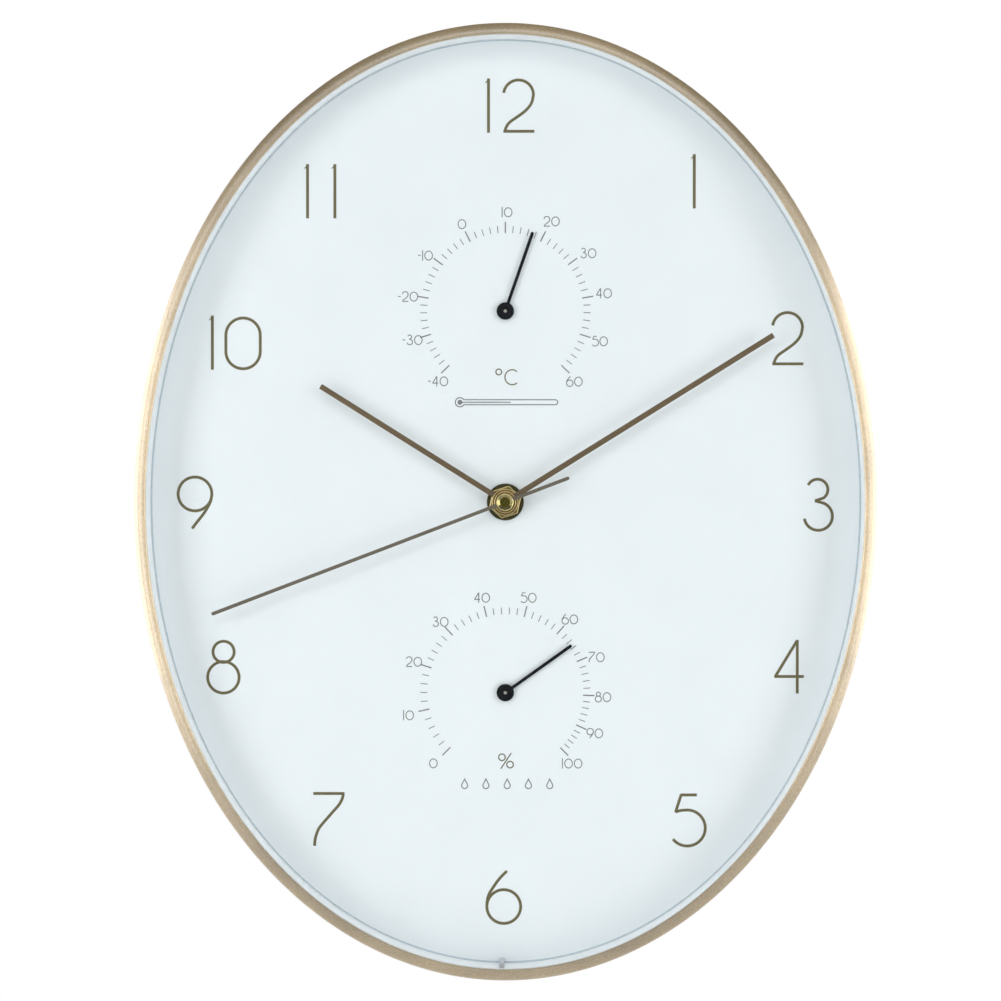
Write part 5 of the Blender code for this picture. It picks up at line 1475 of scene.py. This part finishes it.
@dataclass
class Studio:
    """Floor, lights and the camera at the photograph's viewing angle."""

    distance: float = 1.3
    azimuth: float = 0.9
    elevation: float = 0.8
    lens: float = 124.67
    aim_right: float = -1.556
    aim_up: float = 0.8
    floor_height: float = -0.64
    floor_radius: float = 1.5

    def build(self) -> None:
        """Set the world, the floor, the lamps and the camera."""
        self.make_world()
        self.make_floor()
        low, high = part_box("outer_frame")
        middle = Vector(((low.x + high.x) / 2, low.y, (low.z + high.z) / 2))
        for name, place, size, power in (
                ("left_box", (-1.11, -1.15, 0.05), (0.62, 1.1), 8.0),
                ("right_box", (1.21, -1.05, 0.05), (0.66, 1.1), 7.2),
                ("left_strip", (-1.5, -0.22, 0.03), (0.5, 1.25), 10.0),
                ("right_strip", (1.5, -0.22, 0.03), (0.5, 1.25), 9.0),
                ("top_box", (0.0, -1.31, 1.1), (2.0, 1.3), 2.1),
                ("front_box", (0.1, -2.2, 1.15), (1.3, 0.8), 6.6),
                ("left_rear_box", (-1.35, 0.45, 0.0), (0.9, 1.1), 7.0),
                ("right_rear_box", (1.35, 0.45, 0.0), (0.9, 1.1), 7.0),
                ("rear_box", (0.4, 2.2, 0.9), (1.4, 1.0), 7.0)):
            self.lamp(name, middle, Vector(place), size, power)
        self.make_camera(middle)
        bpy.context.scene.view_settings.view_transform = "Standard"

    @staticmethod
    def lamp(name: str, middle: Vector, offset: Vector, size: Point, power: float) -> None:
        """Add a soft rectangular lamp that faces the clock.

        Args:
            name: the lamp's name.
            middle: the clock's middle, in the row frame.
            offset: the lamp's place from there, in metres.
            size: its width and height in metres.
            power: its power in watts.
        """
        data = bpy.data.lights.new(name, "AREA")
        data.shape = "RECTANGLE"
        data.size, data.size_y = size
        data.energy = power
        lamp = bpy.data.objects.new(name, data)
        lamp.location = middle + offset
        lamp.visible_camera = False
        lamp.rotation_euler = (-offset).to_track_quat("-Z", "Y").to_euler()
        bpy.context.scene.collection.objects.link(lamp)

    @staticmethod
    def make_world() -> None:
        """White room: plain white to the eye and in mirrors, and a soft even light."""
        nodes = Nodes(bpy.data.worlds.new("white_room"))
        rays = nodes.add("ShaderNodeLightPath").outputs
        seen = nodes.add("ShaderNodeMath", {"operation": "MAXIMUM"}, rays["Is Camera Ray"],
                         rays["Is Transmission Ray"])
        where = nodes.add("ShaderNodeTexCoord").outputs["Generated"]
        height = nodes.add("ShaderNodeSeparateXYZ", None, where).outputs["Z"]
        rise = nodes.add("ShaderNodeMapRange", None, Value=height, From_Min=-1.0)
        dim = nodes.add("ShaderNodeValToRGB", None, rise.outputs[0])
        stops = dim.color_ramp.elements
        for stop, (place, level) in zip(
                (stops[0], stops.new(0.36), stops.new(0.67), stops[-1]),
                ((0.20, 0.05), (0.36, 1.0), (0.67, 1.0), (0.82, 0.04))):
            stop.position = place
            stop.color = (level, level, level, 1.0)
        lean = nodes.vector("DOT_PRODUCT", where, (0.0, 0.35, 0.75))
        soft = nodes.add("ShaderNodeMapRange", None, Value=lean.outputs["Value"], From_Min=-1.0,
                         From_Max=1.0, To_Min=0.04, To_Max=0.56)
        even, mirrored, plain = (
            nodes.add("ShaderNodeBackground", None, WHITE, strength).outputs[0]
            for strength in (soft.outputs[0], dim.outputs[0], 1.0))
        lit = nodes.add("ShaderNodeMixShader", None, rays["Is Glossy Ray"], even, mirrored)
        room = nodes.add("ShaderNodeMixShader", None, seen.outputs[0], lit.outputs[0], plain)
        bpy.context.scene.world = nodes.finish(room.outputs[0], "ShaderNodeOutputWorld")

    def make_floor(self) -> None:
        """Add the pale round floor under the clock."""
        work = bmesh.new()
        bmesh.ops.create_circle(work, cap_ends=True, radius=self.floor_radius, segments=96)
        mesh = bpy.data.meshes.new("floor")
        work.to_mesh(mesh)
        work.free()
        floor = bpy.data.objects.new("floor", mesh)
        floor.location.z = self.floor_height
        bpy.context.scene.collection.objects.link(floor)
        nodes = Nodes(bpy.data.materials.new("pale_floor"))
        clouds = nodes.ranged(nodes.noise(nodes.place((3.0,) * 3)), 0.0, 1.0)
        base = nodes.blended(clouds, (0.90,) * 3, (0.92,) * 3)
        shader = nodes.add("ShaderNodeBsdfPrincipled", None, Base_Color=base, Roughness=0.9)
        mesh.materials.append(nodes.finish(shader.outputs[0]))

    def make_camera(self, middle: Vector) -> None:
        """Add the camera at the photograph's distance and angle.

        Args:
            middle: the clock's middle, in the row frame.
        """
        target = middle + Vector((self.aim_right * MM, 0.0, self.aim_up * MM))
        azimuth, rise = math.radians(self.azimuth), math.radians(self.elevation)
        way = Vector((math.sin(azimuth) * math.cos(rise), -math.cos(azimuth) * math.cos(rise),
                      math.sin(rise)))
        data = bpy.data.cameras.new("camera")
        data.lens = self.lens
        data.clip_start = 0.05
        camera = bpy.data.objects.new("camera", data)
        camera.location = target + way * self.distance
        camera.rotation_euler = (-way).to_track_quat("-Z", "Y").to_euler()
        bpy.context.scene.collection.objects.link(camera)
        bpy.context.scene.camera = camera


THERMOMETER = Gauge(
    "thermometer", Body.THERMOMETER, 72.5, 19.2, 31.7,
    tuple(-134.0 + 26.8 * step for step in range(11)),
    (("-40", -25.6, -26.6), ("-30", -35.3, -10.9), ("-20", -37.0, 5.6), ("-10", -30.4, 21.2),
     ("0", -16.5, 33.1), ("10", 0.6, 37.6), ("20", 17.6, 34.1), ("30", 31.5, 22.0),
     ("40", 37.4, 6.8), ("50", 35.9, -11.4), ("60", 26.3, -26.7)))
HYGROMETER = Gauge(
    "hygrometer", Body.HYGROMETER, -72.5, 54.4, 31.0,
    (-135.0, -102.4, -71.7, -42.7, -13.9, 14.0, 41.4, 66.6, 92.0, 114.6, 135.1),
    (("0", -27.4, -27.0), ("10", -36.9, -8.7), ("20", -34.8, 11.7), ("30", -24.7, 26.9),
     ("40", -8.9, 36.1), ("50", 8.8, 36.1), ("60", 24.6, 27.9), ("70", 34.7, 13.5),
     ("80", 37.2, -1.7), ("90", 34.1, -15.5), ("100", 25.4, -27.0)))

REAR_FINISHES: tuple[tuple[Finish, float, tuple[str, ...]], ...] = (
    (BLACK, 0.25, ("back_plate",)),
    (SPRING, 0.12, tuple(f"retaining_clip_{number}" for number in range(1, 5))),
    (ZINC, 0.08, tuple(f"clip_screw_{number}" for number in range(1, 5))),
    (ZINC, 0.2, ("hanger_plate",)),
    (ZINC, 0.08, ("hanger_screw_left", "hanger_screw_right")),
    (BRASS, 0.08, ("threaded_bushing",)),
    (RUBBER, 0.15, ("rubber_washer",)),
    (HOUSING, 0.3, ("movement_case",)),
    (HOUSING, 0.2, ("movement_cover",)),
    (NICKEL, 0.05, ("battery_contact_positive", "battery_contact_negative")),
    (BOARD, 0.05, ("circuit_board",)),
    (NICKEL, 0.1, ("quartz_crystal",)),
    (SILICON, 0.05, ("stator", "coil_core")),
    (ACETAL, 0.08, ("coil_bobbin", "setting_knob")),
    (ACETAL, 0.0, ("second_wheel", "intermediate_wheel", "third_wheel", "minute_pipe",
                   "reversing_wheel", "hour_wheel", "centre_wheel")),
    (FERRITE, 0.05, ("rotor",)),
    (BIMETAL, 0.0, ("thermometer_spiral",)),
    (HUMIDITY, 0.0, ("hygrometer_spiral",)),
    (ZINC, 0.08, ("thermometer_bridge", "hygrometer_bridge", "thermometer_screw_1",
                  "thermometer_screw_2", "hygrometer_screw_1", "hygrometer_screw_2")),
    (PIN_STEEL, 0.06, ("thermometer_arbor", "hygrometer_arbor")),
)


def main() -> None:
    """Build the clock's looks, piece by piece, and the studio round it."""
    logging.basicConfig(level=logging.INFO, format="%(name)s: %(message)s")
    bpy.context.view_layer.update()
    shop = Workshop(frame["nodes"])
    oval = Case().build(shop)
    Dial().build(shop, oval, (THERMOMETER, HYGROMETER))
    Hands().build(shop)
    Pointer(THERMOMETER).build(shop)
    Pointer(HYGROMETER).build(shop)
    Movement().build(shop)
    for finish, edge, names in REAR_FINISHES:
        for name in names:
            shop.dress(name, finish, edge)
    Studio().build()
    left = sorted(set(frame["nodes"]) - shop.dressed)
    LOG.info("nodes without a finish: %s", left or "none")


if __name__ == "__main__":
    main()
